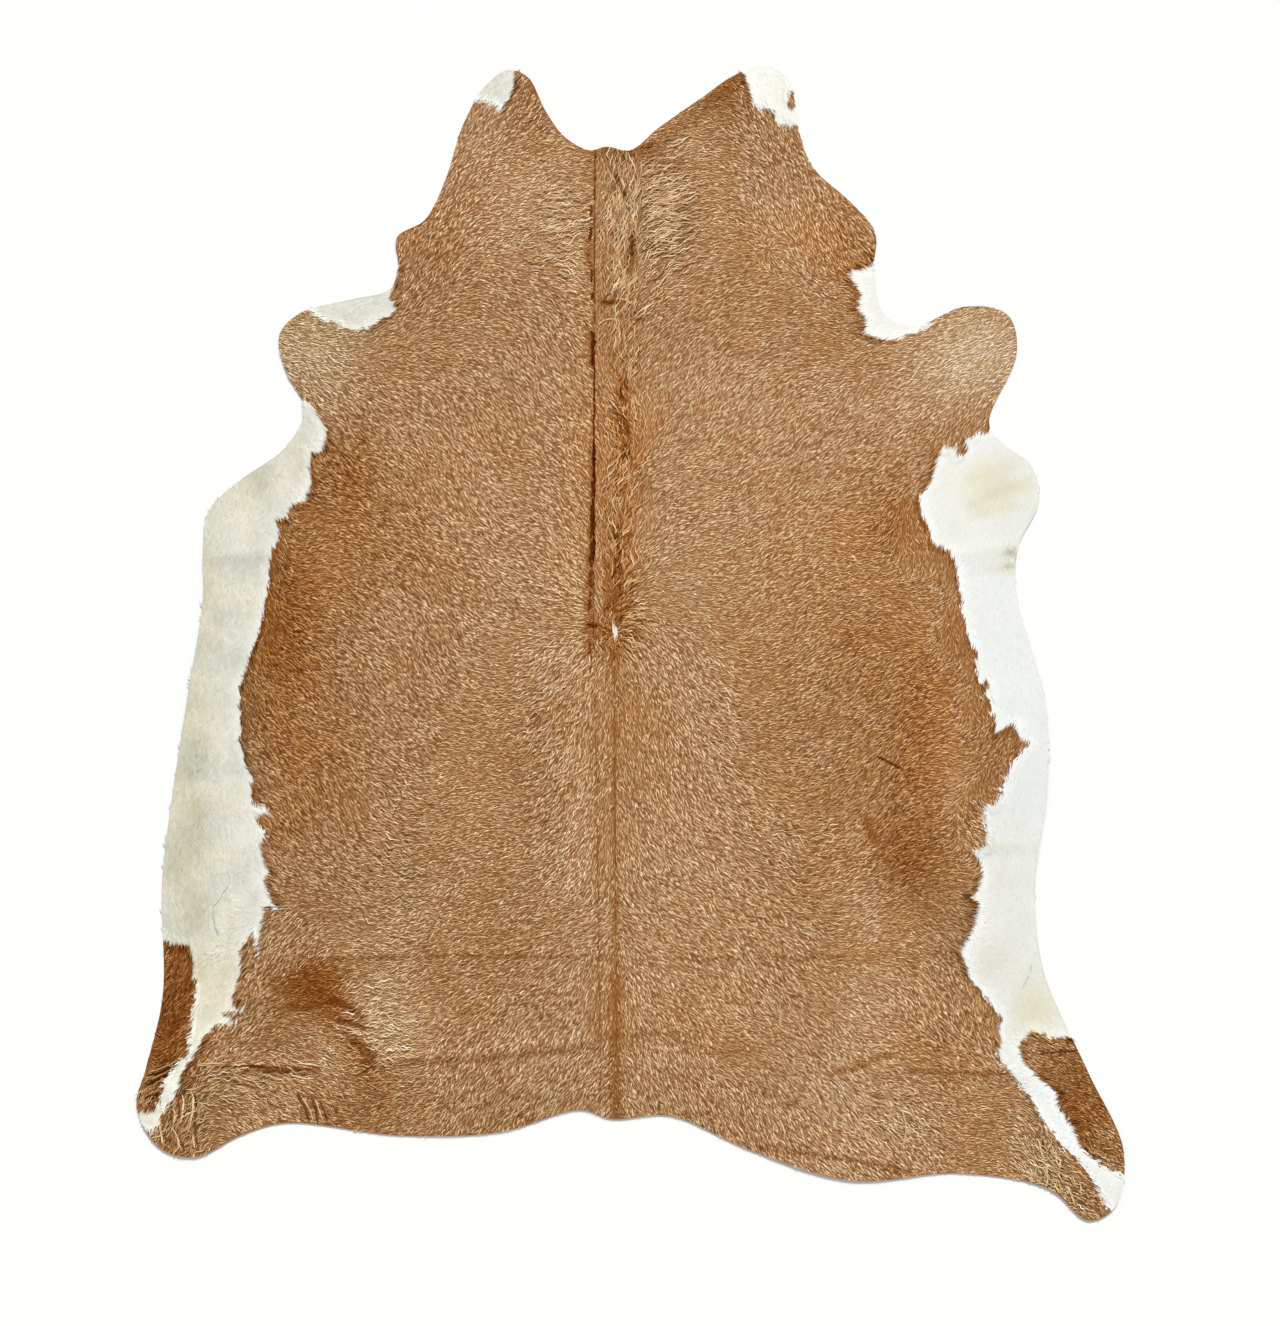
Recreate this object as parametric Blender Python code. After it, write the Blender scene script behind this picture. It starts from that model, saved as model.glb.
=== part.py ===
"""A cowhide rug lying flat on the floor with its hair up, as one closed solid.

Metres, +Z up, the neck towards +Y. The origin is on the floor, in the middle of the rug's box.

The hide is set out as on a cutting table. A place is given in centimetres to the right of the
spine line (left is negative) and in centimetres towards the neck from the tail notch. The whole
layout is then scaled so that the rug has its stated length.
"""

import math
from collections import namedtuple

import bmesh
import bpy
import numpy as np
from mathutils import Vector
from mathutils.geometry import delaunay_2d_cdt

CM = 0.01
MM = 0.001

# Driving sizes
RUG_LENGTH = 2.135  # neck flap tip to hind toe, measured along the spine
LEATHER_THICKNESS = 2.2 * MM
LYING_PILE = 2.6 * MM  # the short coat, combed flat
RIM_PILE = 1.2 * MM  # the coat thins out over the cut edge

# How finely the solid is divided
RIM_STEP = 1.2 * CM
INNER_STEP = 3.8 * CM
FOLD_STEP = 2.4 * CM
RIM_CLEARANCE = 2.2 * CM  # no inner point lies nearer to the cut edge than this
FOLD_CLEARANCE = 1.8 * CM  # nor nearer to a point of a fold
SAME_POINT = 0.01 * MM
FOLD_LINES = (-1.0, -0.45, 0.0, 0.45, 1.0)  # lines of points along a fold, in half widths

HAIR_COLOUR = (0.42, 0.23, 0.11, 1.0)
HAIR_ROUGHNESS = 0.7

# The cut edge, from the neck down both sides to the tail. Each row is a place that both halves
# of the hide have, so that the two sides can be compared as they are cut.
Landmark = namedtuple("Landmark", "name left_x left_y right_x right_y")
LANDMARKS = (
    Landmark("neck edge", -3.7, 179.1, 3.7, 179.1),
    Landmark("neck flap, foot", -8.5, 181.7, 8.9, 183.2),
    Landmark("neck flap, inner side", -12.0, 186.5, 16.9, 188.8),
    Landmark("neck flap, crest", -15.2, 192.6, 23.1, 193.0),
    Landmark("neck flap, tip", -18.9, 193.9, 29.2, 194.7),
    Landmark("neck flap, outer corner", -23.3, 190.6, 33.3, 191.4),
    Landmark("neck, upper side", -27.2, 183.7, 34.6, 183.7),
    Landmark("neck, lower side", -30.5, 173.5, 37.6, 175.9),
    Landmark("cheek, upper end", -34.2, 166.3, 44.4, 169.6),
    Landmark("cheek", -39.4, 163.0, 49.0, 163.9),
    Landmark("cheek, lower end", -39.2, 157.8, 48.7, 156.0),
    Landmark("foreleg pit", -40.7, 153.5, 50.9, 148.6),
    Landmark("foreleg, upper edge", -48.1, 151.5, 56.4, 146.7),
    Landmark("foreleg, upper corner", -57.4, 148.9, 65.7, 150.2),
    Landmark("foreleg, end", -61.1, 144.9, 73.4, 148.7),
    Landmark("foreleg, lower edge", -59.9, 138.4, 75.2, 142.0),
    Landmark("elbow hollow", -56.5, 131.2, 70.1, 128.7),
    Landmark("elbow, lower end", -59.9, 124.3, 72.6, 124.9),
    Landmark("chest, upper edge", -68.5, 118.0, 77.7, 121.0),
    Landmark("chest corner", -74.3, 112.2, 79.3, 114.3),
    Landmark("chest, lower end", -75.3, 105.1, 75.5, 105.8),
    Landmark("belly, upper end", -75.3, 95.8, 75.2, 96.8),
    Landmark("belly, middle", -77.9, 79.2, 80.3, 77.8),
    Landmark("belly, lower end", -80.8, 60.7, 80.8, 60.7),
    Landmark("flank", -82.8, 44.0, 78.6, 42.2),
    Landmark("hock hollow", -82.7, 22.8, 80.2, 27.4),
    Landmark("hind leg, outer edge", -85.8, 9.3, 88.3, 8.9),
    Landmark("hind toe, outer corner", -87.5, 2.4, 94.9, -5.9),
    Landmark("hind toe, end", -83.3, -5.2, 93.4, -16.1),
    Landmark("hind toe, inner corner", -76.8, -7.0, 88.4, -18.7),
    Landmark("hind leg, inner edge", -68.5, -3.1, 81.4, -13.0),
    Landmark("rump, outer end", -60.1, -0.7, 64.8, -10.0),
    Landmark("rump, middle", -38.9, -3.0, 44.4, -11.3),
    Landmark("rump, inner end", -20.4, -2.4, 25.6, -5.6),
    Landmark("tail notch, side", -5.6, 1.7, 11.1, 0.6),
)
NECK_MIDDLE = (-0.7, 179.8)
TAIL_MIDDLE = (0.4, 0.0)

# Creases that the hide keeps from its growth and from being folded for storage. Each runs from
# start to end and bows sideways in the middle. A raised one lifts the skin off the floor by its
# height in millimetres, and a pressed one, of negative height, parts the coat and leaves the
# skin on the floor. The half width is in centimetres.
Fold = namedtuple("Fold", "name start end bow half_width height")
FOLDS = (
    Fold("spine parting", (-2.8, 178.0), (-4.3, 87.0), 0.3, 1.2, -1.5),
    Fold("back line to the tail", (0.9, 84.0), (0.4, 1.6), 0.2, 1.3, -1.2),
    Fold("withers tuck", (-2.0, 150.8), (4.1, 151.2), 0.4, 1.0, 1.6),
    Fold("left chest fold", (-73.0, 103.2), (-60.0, 103.8), 0.3, 1.6, 1.8),
    Fold("right chest fold", (62.0, 104.0), (73.5, 104.8), -0.3, 1.6, 1.8),
    Fold("right flank fold", (66.0, 50.6), (77.0, 50.0), 0.2, 1.4, 1.6),
    Fold("left loin fold", (-52.0, 29.4), (-2.5, 30.6), 0.5, 1.8, 2.0),
    Fold("right loin fold", (8.0, 30.5), (64.0, 30.8), -0.5, 1.8, 1.7),
    Fold("left hock fold", (-73.5, 9.8), (-55.0, 9.4), 0.4, 1.8, 3.0),
    Fold("left rump fold", (-40.0, 10.8), (-2.6, 14.0), -0.6, 1.8, 2.6),
    Fold("right hock fold", (41.0, 8.4), (75.0, 8.6), 1.6, 1.8, 2.8),
    Fold("right seat fold", (28.0, -3.6), (54.0, -8.4), 0.5, 1.4, 2.2),
    Fold("left heel ridge", (-55.6, 6.0), (-54.4, 1.6), 0.2, 1.0, 2.0),
    Fold("left toe curl", (-81.6, 5.0), (-79.6, -3.4), 0.6, 1.3, 2.6),
    Fold("right toe curl", (80.4, -4.6), (85.8, -13.6), 0.8, 1.3, 2.6),
)

# Broad places where the stiff skin stands a little off the floor. Sizes in centimetres, the lift
# in millimetres.
Swell = namedtuple("Swell", "name x y reach_x reach_y lift")
SWELLS = (
    Swell("left neck flap", -19.0, 188.0, 12.0, 14.0, 3.0),
    Swell("right neck flap", 29.0, 188.0, 12.0, 14.0, 3.2),
    Swell("left foreleg", -57.0, 143.0, 13.0, 12.0, 3.0),
    Swell("right foreleg", 70.0, 145.0, 13.0, 12.0, 3.4),
    Swell("left belly edge", -76.0, 84.0, 11.0, 26.0, 2.2),
    Swell("right belly edge", 79.0, 66.0, 10.0, 24.0, 2.6),
    Swell("left hind leg", -80.0, 2.0, 14.0, 15.0, 3.2),
    Swell("right hind leg", 89.0, -8.0, 14.0, 17.0, 3.8),
    Swell("rump edge", 40.0, -9.0, 22.0, 9.0, 2.2),
)


def table_outline():
    """The landmarks as one closed loop: down the left side, round the tail and up the right."""
    left = [(mark.left_x, mark.left_y) for mark in LANDMARKS]
    right = [(mark.right_x, mark.right_y) for mark in reversed(LANDMARKS)]
    return np.array([NECK_MIDDLE, *left, TAIL_MIDDLE, *right]) * CM


def smooth_loop(marks, step):
    """A centripetal Catmull-Rom curve through a closed loop of marks, with even steps between two."""
    points = []
    count = len(marks)
    for i in range(count):
        a, b, c, d = (marks[(i + k) % count] for k in (-1, 0, 1, 2))
        t_b = math.sqrt(math.dist(a, b))
        t_c = t_b + math.sqrt(math.dist(b, c))
        t_d = t_c + math.sqrt(math.dist(c, d))
        steps = max(1, round(math.dist(b, c) / step))
        for k in range(steps):
            t = t_b + (t_c - t_b) * k / steps
            ab = a + (b - a) * t / t_b
            bc = b + (c - b) * (t - t_b) / (t_c - t_b)
            cd = c + (d - c) * (t - t_c) / (t_d - t_c)
            ac = ab + (bc - ab) * t / t_c
            bd = bc + (cd - bc) * (t - t_b) / (t_d - t_b)
            points.append(ac + (bd - ac) * (t - t_b) / (t_c - t_b))
    return np.array(points)


def table_frame(outline):
    """(scale, middle) that take the cutting table's places to the rug's own frame."""
    low, high = outline.min(axis=0), outline.max(axis=0)
    return RUG_LENGTH / (high[1] - low[1]), (low + high) / 2


def fold_axes(fold):
    """(start, along, across, length) of a fold's straight line, on the cutting table in metres."""
    start, end = np.array(fold.start) * CM, np.array(fold.end) * CM
    length = math.dist(start, end)
    along = (end - start) / length
    return start, along, np.array([-along[1], along[0]]), length


def fold_bow(fold, share):
    """How far the fold's crest lies to the side of its straight line, at a share of its length."""
    return fold.bow * CM * 4 * share * (1 - share)


def fold_points():
    """Points on the crest, the slopes and the feet of every fold, so that the solid follows it."""
    points = []
    for fold in FOLDS:
        start, along, across, length = fold_axes(fold)
        share = np.linspace(0.0, 1.0, 1 + max(2, round(length / FOLD_STEP)))[:, None]
        crest = start + along * length * share + across * fold_bow(fold, share)
        for side in FOLD_LINES:
            points.extend(crest + across * side * fold.half_width * CM)
    return np.array(points)


def bump(distance):
    """1 in the middle and exactly 0 from a distance of 1, smooth at both."""
    return np.clip(1 - distance**2, 0.0, 1.0) ** 2


def fold_height(fold, places):
    """How far one fold raises or presses each place, in metres."""
    start, along, across, length = fold_axes(fold)
    half_width = fold.half_width * CM
    share = (places - start) @ along / length
    sideways = (places - start) @ across - fold_bow(fold, share)
    past_end = np.maximum(0.0, np.abs(share - 0.5) - 0.5) * length
    return fold.height * MM * bump(np.hypot(sideways, past_end) / half_width)


def swell_height(swell, places):
    """How far one broad swell lifts each place off the floor, in metres."""
    middle, reach = np.array([swell.x, swell.y]) * CM, np.array([swell.reach_x, swell.reach_y]) * CM
    away = (places - middle) / reach
    return swell.lift * MM * bump(np.hypot(away[:, 0], away[:, 1]))


def skin_lift(places):
    """The height of the underside over the floor at each place of the cutting table."""
    raised = sum(fold_height(fold, places) for fold in FOLDS if fold.height > 0)
    return raised + sum(swell_height(swell, places) for swell in SWELLS)


def pile_parting(places):
    """How far the coat is pressed in at each place, as a negative height."""
    return sum(fold_height(fold, places) for fold in FOLDS if fold.height < 0)


def distance_to(places, others):
    """The distance from each place to the nearest of the others."""
    return np.array([np.hypot(*(others - place).T).min() for place in places])


def inside(places, loop):
    """Which places lie inside a closed loop, by counting the sides that a ray to the right crosses."""
    crossings = np.zeros(len(places), int)
    for a, b in zip(loop, np.roll(loop, -1, axis=0)):
        spans = (a[1] > places[:, 1]) != (b[1] > places[:, 1])
        if spans.any():
            at = a[0] + (places[:, 1] - a[1]) * (b[0] - a[0]) / (b[1] - a[1])
            crossings += spans & (at > places[:, 0])
    return crossings % 2 == 1


def inner_points(rim, creases):
    """A triangular grid inside the rim, clear of the rim and of the creases' own points."""
    low, high = rim.min(axis=0), rim.max(axis=0)
    row_step = INNER_STEP * math.sqrt(3) / 2
    grid = [
        (low[0] + (column + row % 2 / 2) * INNER_STEP, low[1] + row * row_step)
        for row in range(int((high[1] - low[1]) / row_step) + 1)
        for column in range(int((high[0] - low[0]) / INNER_STEP) + 1)
    ]
    grid = np.array(grid)
    grid = grid[inside(grid, rim)]
    grid = grid[distance_to(grid, rim) > RIM_CLEARANCE]
    return grid[distance_to(grid, creases) > FOLD_CLEARANCE]


def flat_sheet():
    """(places, triangles, rim): the hide as one flat layer on the cutting table."""
    rim = smooth_loop(table_outline(), RIM_STEP)
    creases = fold_points()
    creases = creases[inside(creases, rim)]
    creases = creases[distance_to(creases, rim) > RIM_STEP / 2]
    places = np.concatenate([rim, creases, inner_points(rim, creases)])
    verts, _, faces, *_ = delaunay_2d_cdt(
        [Vector(place) for place in places], [], [list(range(len(rim)))], 1, SAME_POINT
    )
    return np.array([tuple(vert) for vert in verts]), faces, rim


def hide_mesh():
    """The closed mesh: an underside on the floor, a top at the coat's surface, a thin wall between."""
    places, triangles, rim = flat_sheet()
    scale, middle = table_frame(rim)
    lift = skin_lift(places)
    on_rim = distance_to(places, rim) < SAME_POINT
    pile = np.where(on_rim, RIM_PILE, LYING_PILE + pile_parting(places))
    shape = bmesh.new()
    thickness = shape.verts.layers.float.new("thickness")
    for place, height, coat in zip((places - middle) * scale, lift, pile):
        vert = shape.verts.new((place[0], place[1], height))
        vert[thickness] = LEATHER_THICKNESS + coat
    shape.verts.ensure_lookup_table()
    for triangle in triangles:
        shape.faces.new([shape.verts[i] for i in triangle])
    raised = bmesh.ops.extrude_face_region(shape, geom=shape.faces[:])["geom"]
    for vert in (item for item in raised if isinstance(item, bmesh.types.BMVert)):
        vert.co.z += vert[thickness]
    bmesh.ops.recalc_face_normals(shape, faces=shape.faces[:])
    mesh = bpy.data.meshes.new("hide")
    shape.to_mesh(mesh)
    shape.free()
    return mesh


def hair_material():
    material = bpy.data.materials.new("tan hair-on hide")
    material.use_nodes = True
    shader = material.node_tree.nodes["Principled BSDF"]
    shader.inputs["Base Color"].default_value = HAIR_COLOUR
    shader.inputs["Roughness"].default_value = HAIR_ROUGHNESS
    shader.inputs["Metallic"].default_value = 0.0
    return material


def build():
    for old in list(bpy.data.objects):
        bpy.data.objects.remove(old)
    mesh = hide_mesh()
    mesh.shade_smooth()
    mesh.materials.append(hair_material())
    bpy.context.scene.collection.objects.link(bpy.data.objects.new("hide", mesh))


build()
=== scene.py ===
"""The finish of a cowhide rug: its skin as one thin sheet, and its coat as lying locks of hair.

Metres, +Z up, the neck towards +Y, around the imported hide. Places are given as on a cutting table:
centimetres to the right of the spine line (left is negative), and centimetres towards the neck from
the tail notch. Headings are in degrees, 0 to the right and 90 towards the neck. A number that is
added to a seed only keeps one use of chance apart from the others.
"""

import math
from collections import namedtuple
from functools import lru_cache

import bmesh
import bpy
import numpy as np
from bpy.props import FloatProperty, FloatVectorProperty, IntProperty, PointerProperty
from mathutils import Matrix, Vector
from mathutils.bvhtree import BVHTree
from mathutils.geometry import delaunay_2d_cdt
from mathutils.kdtree import KDTree


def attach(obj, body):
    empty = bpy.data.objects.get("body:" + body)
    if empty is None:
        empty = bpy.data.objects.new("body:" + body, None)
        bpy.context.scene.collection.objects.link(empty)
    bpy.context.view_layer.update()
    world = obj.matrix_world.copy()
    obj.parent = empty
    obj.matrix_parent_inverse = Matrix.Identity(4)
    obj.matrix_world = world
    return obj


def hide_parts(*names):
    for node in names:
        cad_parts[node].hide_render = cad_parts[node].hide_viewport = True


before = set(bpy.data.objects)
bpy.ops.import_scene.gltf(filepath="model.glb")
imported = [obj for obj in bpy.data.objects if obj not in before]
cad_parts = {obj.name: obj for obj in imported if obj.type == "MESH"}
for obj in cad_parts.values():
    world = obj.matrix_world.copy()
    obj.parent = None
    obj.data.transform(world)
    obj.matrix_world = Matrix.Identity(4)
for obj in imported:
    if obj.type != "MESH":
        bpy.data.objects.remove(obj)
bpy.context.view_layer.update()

bl_info = {
    "name": "Cowhide rug",
    "version": (1, 0, 0),
    "blender": (4, 5, 0),
    "location": "3D View > Sidebar > Rug",
    "description": "Lays the skin of a cowhide rug, combs its coat and sets a plain stage",
    "category": "Object",
}

CM = 0.01
MM = 0.001
BODY = "root"
HIDE = "hide"
PALETTE_MAP = "OFBake"  # the map that holds a hair's tone and warmth instead of a place

# The place of the cutting table that lies under the middle of the rug's box
TABLE_MIDDLE = np.array([3.7, 88.0])

# How finely the hide is read and divided
FIELD_STEP = 5 * MM
FIELD_BLUR = 2  # how often the hide's lift is evened out
LEAST_KNOWN = 1e-3  # the least divisor, where rays find no hide
FIELD_MARGIN = 3 * CM
RIM_STEP = 6 * MM
RIM_MARK_STEP = 1.5 * MM  # between the places on the cut edge that distances are taken from
RIM_CLEARANCE = 6 * MM  # no inner point of the skin lies nearer to the cut edge
UNDERSIDE_STEP = 40 * MM
SKIN_SHAKE = 0.12  # how far the skin's inner points are moved off an even grid, in steps
SKIN_SHARP_ANGLE = math.radians(50)
SAME_POINT = 0.01 * MM
LOOK_FROM = 0.2  # where rays start, under the hide
WALL_LEAN, FLOOR_LEAN = 0.3, -0.5  # the z of a normal: below it on the wall, and on the underside
WHITE_REACH = 4 * CM  # how far from the white its depth is still told
LATTICE = 256  # points along each side of a noise, after which it repeats

# The comb
COMB_REACH = 4.4  # centimetres over which a comb guide is felt
FAR_SHARE = 1e-7  # what a guide still counts for far away, so that no place is without one
PARTING_TOP, PARTING_END = (-2.9, 179.0), (-3.1, 86.5)  # the ends of the neck's parting
BACK_LINE = 0.8  # where the coat parts from there on
MANE_WIDTH, MANE_FOOT = 8.2, 148.0  # the mane lies upright right of the parting, from this foot up
MANE_EDGE, MANE_RISE = 0.5, 8  # the softness of its side and of its foot
MANE_FLOW = np.array([0.12, 1.0])
WHORL_CORE = 0.05  # nearer than this, in centimetres, a whorl turns the hair less


def rows(kind, *given):
    """A table: one row of the kind from each of the given ones."""
    return tuple(kind(*row) for row in given)


# Hair directions, set by guides. Each row is a place at the same distance out from the spine line
# on both sides and the lean of the hair there: 0 is straight outwards, 90 towards the neck. A side
# without such a place has None.
Comb = namedtuple("Comb", "across along left right")
COMBS = rows(
    Comb,
    (6, 177, -5, 16), (12, 176, -15, 25), (20, 176, -12, 0), (27, 186, -60, -60), (18, 188, -45, 10),
    (28, 173, -50, -55), (6, 163, -15, 25), (11, 165, -15, 20), (20, 165, -10, 8), (29, 166, -45, -60),
    (37, 159, -70, -80), (46, 163, None, -40), (4, 153, 20, 65), (11, 154, 20, 25), (20, 153, 24, 24),
    (30, 155, -40, 35), (39, 152, -60, -20), (11, 147, 55, 45), (22, 147, 15, 32), (30, 148, -15, 12),
    (42, 149, -20, 10), (6, 140, 52, 60), (16, 140, 60, 64), (28, 142, 12, 15), (40, 142, 6, 5),
    (52, 143, 10, 15), (62, 145, 15, 32), (14, 131, 52, 52), (28, 132, 55, 54), (44, 132, 42, 40),
    (56, 134, 50, 32), (69, 140, None, 35), (-1.5, 140, None, 105), (-1, 128, None, 124),
    (-1.5, 105, None, 118), (1.5, 130, None, 112), (2, 112, None, 92), (6, 118, 65, 60),
    (12, 118, 20, 10), (30, 118, 58, 42), (48, 118, 33, 35), (57, 122, 62, 30), (64, 125, None, 74),
    (6, 104, 60, 60), (12, 104, 35, 20), (30, 104, 38, 35), (48, 106, 35, 0), (55, 107, -45, 115),
    (61, 107, 92, 80), (12, 97, 20, -20), (18, 96, 36, 8), (30, 94, 54, 33), (46, 92, 40, 18),
    (56, 93, 10, -22), (64, 91, 105, 105), (12, 84, -35, -50), (22, 84, 8, -20), (30, 84, 60, 28),
    (45, 82, 56, 38), (56, 80, 42, 45), (61, 78, 28, -12), (67, 76, 100, 125), (2, 74, -80, -80),
    (9, 72, -62, -76), (17, 73, -8, -40), (26, 73, 15, 5), (38, 72, 42, 28), (54, 70, 26, 48),
    (62, 68, 40, -8), (74, 70, None, 60), (9, 60, -58, -58), (19, 60, 15, -45), (28, 60, -15, -20),
    (38, 60, 30, 25), (50, 58, 70, 56), (60, 56, 42, 10), (67, 54, 80, 150), (2, 48, -82, -80),
    (9, 48, -25, -35), (20, 48, -5, -30), (32, 48, -10, -25), (42, 47, 25, 35), (54, 45, 40, 40),
    (62, 44, 35, -5), (9, 36, -10, -30), (22, 36, -10, -28), (36, 36, -15, -25), (46, 36, 20, 28),
    (57, 35, -35, -5), (64, 34, -50, -30), (2, 24, -82, -82), (10, 24, -30, -25), (28, 24, -15, -45),
    (46, 23, -10, -18), (58, 21, 0, -45), (68, 20, -45, -62), (10, 12, -48, -60), (26, 12, -48, -5),
    (40, 12, 0, -35), (54, 11, 28, 0), (68, 10, 0, -35), (77, 10, -20, 155), (12, 3, -50, -55),
    (26, 2, -50, -60), (40, 0, -8, -38), (56, 1, 35, -30), (70, 2, 36, 10), (80, 0, -75, -45),
    (88, -13, None, 140), (91, -3, None, 145), (72, 104, 95, 90), (80, 88, 92, 95), (74, 60, 92, 95),
    (76, 40, 90, 95), (81, 22, 120, 128), (85, 8, 120, 160), (72, 21, -62, None), (76, 13, -62, None),
    (80, 6, -60, None), (83, 0, -60, None),
)

# Where the hair leaves one point to all sides
Whorl = namedtuple("Whorl", "name x y reach strength")
WHORLS = rows(
    Whorl,
    ("back whorl", 0.9, 90.0, 3.1, 1.0),
    ("right cheek fan", 29.4, 160.6, 4.0, 0.8),
)
# The bare sliver in the middle of the back whorl, as two long spots that meet
BareSpot = namedtuple("BareSpot", "x y width length")
BARE_SPOTS = rows(BareSpot, (0.6, 91.3, 0.42, 3.0), (0.95, 89.6, 0.6, 2.4))

# The white areas, as loops that run past the cut edge on their outer side
WHITE_AREAS = {
    "left neck flap": (
        (-17.4, 195.7), (-17.4, 191.1), (-18.3, 189.3), (-20.0, 186.3), (-20.9, 187.6),
        (-22.6, 188.5), (-25.9, 188.5), (-28.7, 193.9),
    ),
    "left foreleg pit": (
        (-38.6, 158.4), (-39.4, 155.4), (-40.3, 152.3), (-39.2, 150.4), (-40.3, 148.6),
        (-42.9, 147.3), (-44.4, 146.0), (-48.8, 146.2), (-50.0, 147.3), (-52.4, 147.4),
        (-55.9, 149.8), (-57.4, 154.1), (-48.1, 156.9),
    ),
    "left flank": (
        (-58.1, 133.2), (-55.9, 132.1), (-54.0, 130.6), (-52.4, 127.5), (-52.2, 124.9),
        (-53.1, 123.0), (-54.9, 122.7), (-55.1, 119.1), (-54.8, 116.5), (-55.9, 114.1),
        (-58.8, 112.8), (-59.4, 110.6), (-61.4, 110.3), (-60.9, 106.6), (-62.3, 104.7),
        (-62.9, 101.4), (-63.3, 96.9), (-64.2, 92.5), (-66.0, 86.8), (-66.8, 83.6),
        (-68.5, 79.2), (-68.3, 69.6), (-67.2, 65.1), (-65.9, 62.0), (-66.2, 57.8),
        (-63.0, 56.4), (-65.3, 54.9), (-63.3, 51.6), (-64.5, 50.0), (-62.7, 45.4),
        (-63.4, 43.4), (-61.0, 38.8), (-63.2, 39.4), (-64.9, 31.3), (-66.0, 35.2),
        (-67.8, 31.9), (-67.9, 27.5), (-68.9, 24.4), (-69.6, 21.6), (-67.6, 20.4),
        (-71.0, 19.9), (-69.0, 18.2), (-72.6, 18.0), (-74.9, 15.4),
        (-76.6, 11.7), (-78.8, 8.7), (-79.2, 6.5), (-80.8, 3.5), (-82.5, 1.5),
        (-84.7, -2.2), (-90.7, -0.4), (-90.7, 40.3), (-85.1, 77.3), (-79.5, 114.3),
    ),
    "right neck flap": (
        (23.7, 195.7), (25.2, 190.6), (25.7, 188.0), (27.4, 187.0), (28.7, 187.6),
        (30.0, 186.3), (30.9, 184.1), (32.6, 184.6), (36.3, 183.5), (36.3, 195.7),
    ),
    "right foreleg pit": (
        (50.0, 160.6), (48.5, 158.9), (46.6, 157.6), (44.4, 157.4), (43.5, 156.1),
        (44.4, 154.8), (45.7, 152.3), (45.0, 150.0), (46.6, 147.8), (45.9, 145.2),
        (49.0, 144.1), (52.4, 143.9), (55.5, 145.0), (58.8, 146.5), (54.6, 151.3),
    ),
    "right flank": (
        (70.1, 128.2), (70.1, 126.5), (68.3, 126.2), (65.3, 124.9), (65.7, 123.0),
        (64.0, 121.7), (62.9, 123.6), (60.9, 123.4), (59.4, 119.9), (58.3, 116.7),
        (56.8, 114.1), (57.4, 111.4), (58.6, 109.0), (59.4, 105.8), (62.2, 104.7),
        (63.5, 102.7), (64.4, 98.2), (65.3, 92.5), (66.2, 88.8), (67.9, 85.5),
        (67.5, 82.3), (68.8, 79.7), (69.7, 80.5), (70.5, 76.0), (71.0, 73.4),
        (71.0, 70.3), (72.3, 71.6), (74.2, 72.5), (75.5, 69.6), (77.1, 69.0),
        (75.8, 67.2), (74.0, 64.6), (73.1, 62.0), (72.3, 58.8), (71.0, 57.5),
        (69.4, 56.8), (70.1, 53.1), (69.7, 50.0), (67.5, 48.7), (68.3, 45.3),
        (67.3, 42.2), (65.7, 40.7), (67.5, 40.0), (66.6, 35.9), (64.2, 31.4),
        (65.9, 26.6), (69.6, 22.6), (72.2, 18.7), (71.2, 17.4), (72.0, 14.6),
        (70.9, 12.8), (73.4, 10.0), (76.4, 6.1), (78.8, 1.5), (82.7, -3.9),
        (86.8, -7.8), (89.4, -11.7), (91.4, -15.0), (92.9, -17.8), (98.0, -15.2),
        (98.0, 3.3), (88.8, 40.3), (87.0, 95.8), (81.4, 125.4),
    ),
}

# Tan areas that lie out in the white
TAN_AREAS = {
    "left leg": (
        (-84.2, 33.3), (-82.9, 32.9), (-81.4, 31.6), (-78.3, 31.6), (-77.3, 28.5),
        (-77.9, 25.5), (-76.4, 24.6), (-76.4, 22.6), (-77.0, 19.2), (-77.1, 16.1),
        (-77.9, 12.0), (-80.5, 9.8), (-81.8, 7.4), (-82.9, 4.1), (-84.2, 1.9),
        (-88.8, 1.7), (-88.8, 32.9),
    ),
    "right leg": (
        (85.5, 15.2), (84.4, 14.6), (82.1, 14.6), (78.4, 16.1), (76.0, 13.3),
        (77.1, 10.0), (80.1, 7.4), (83.1, 4.8), (83.4, 2.2), (86.0, -1.1),
        (87.3, -5.2), (90.7, -8.5), (93.6, -10.4), (98.0, -10.4), (96.2, 7.0), (88.8, 16.3),
    ),
    "right neck spot": ((32.4, 190.4), (32.6, 187.4), (34.0, 187.2), (34.8, 190.6)),
}

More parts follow.
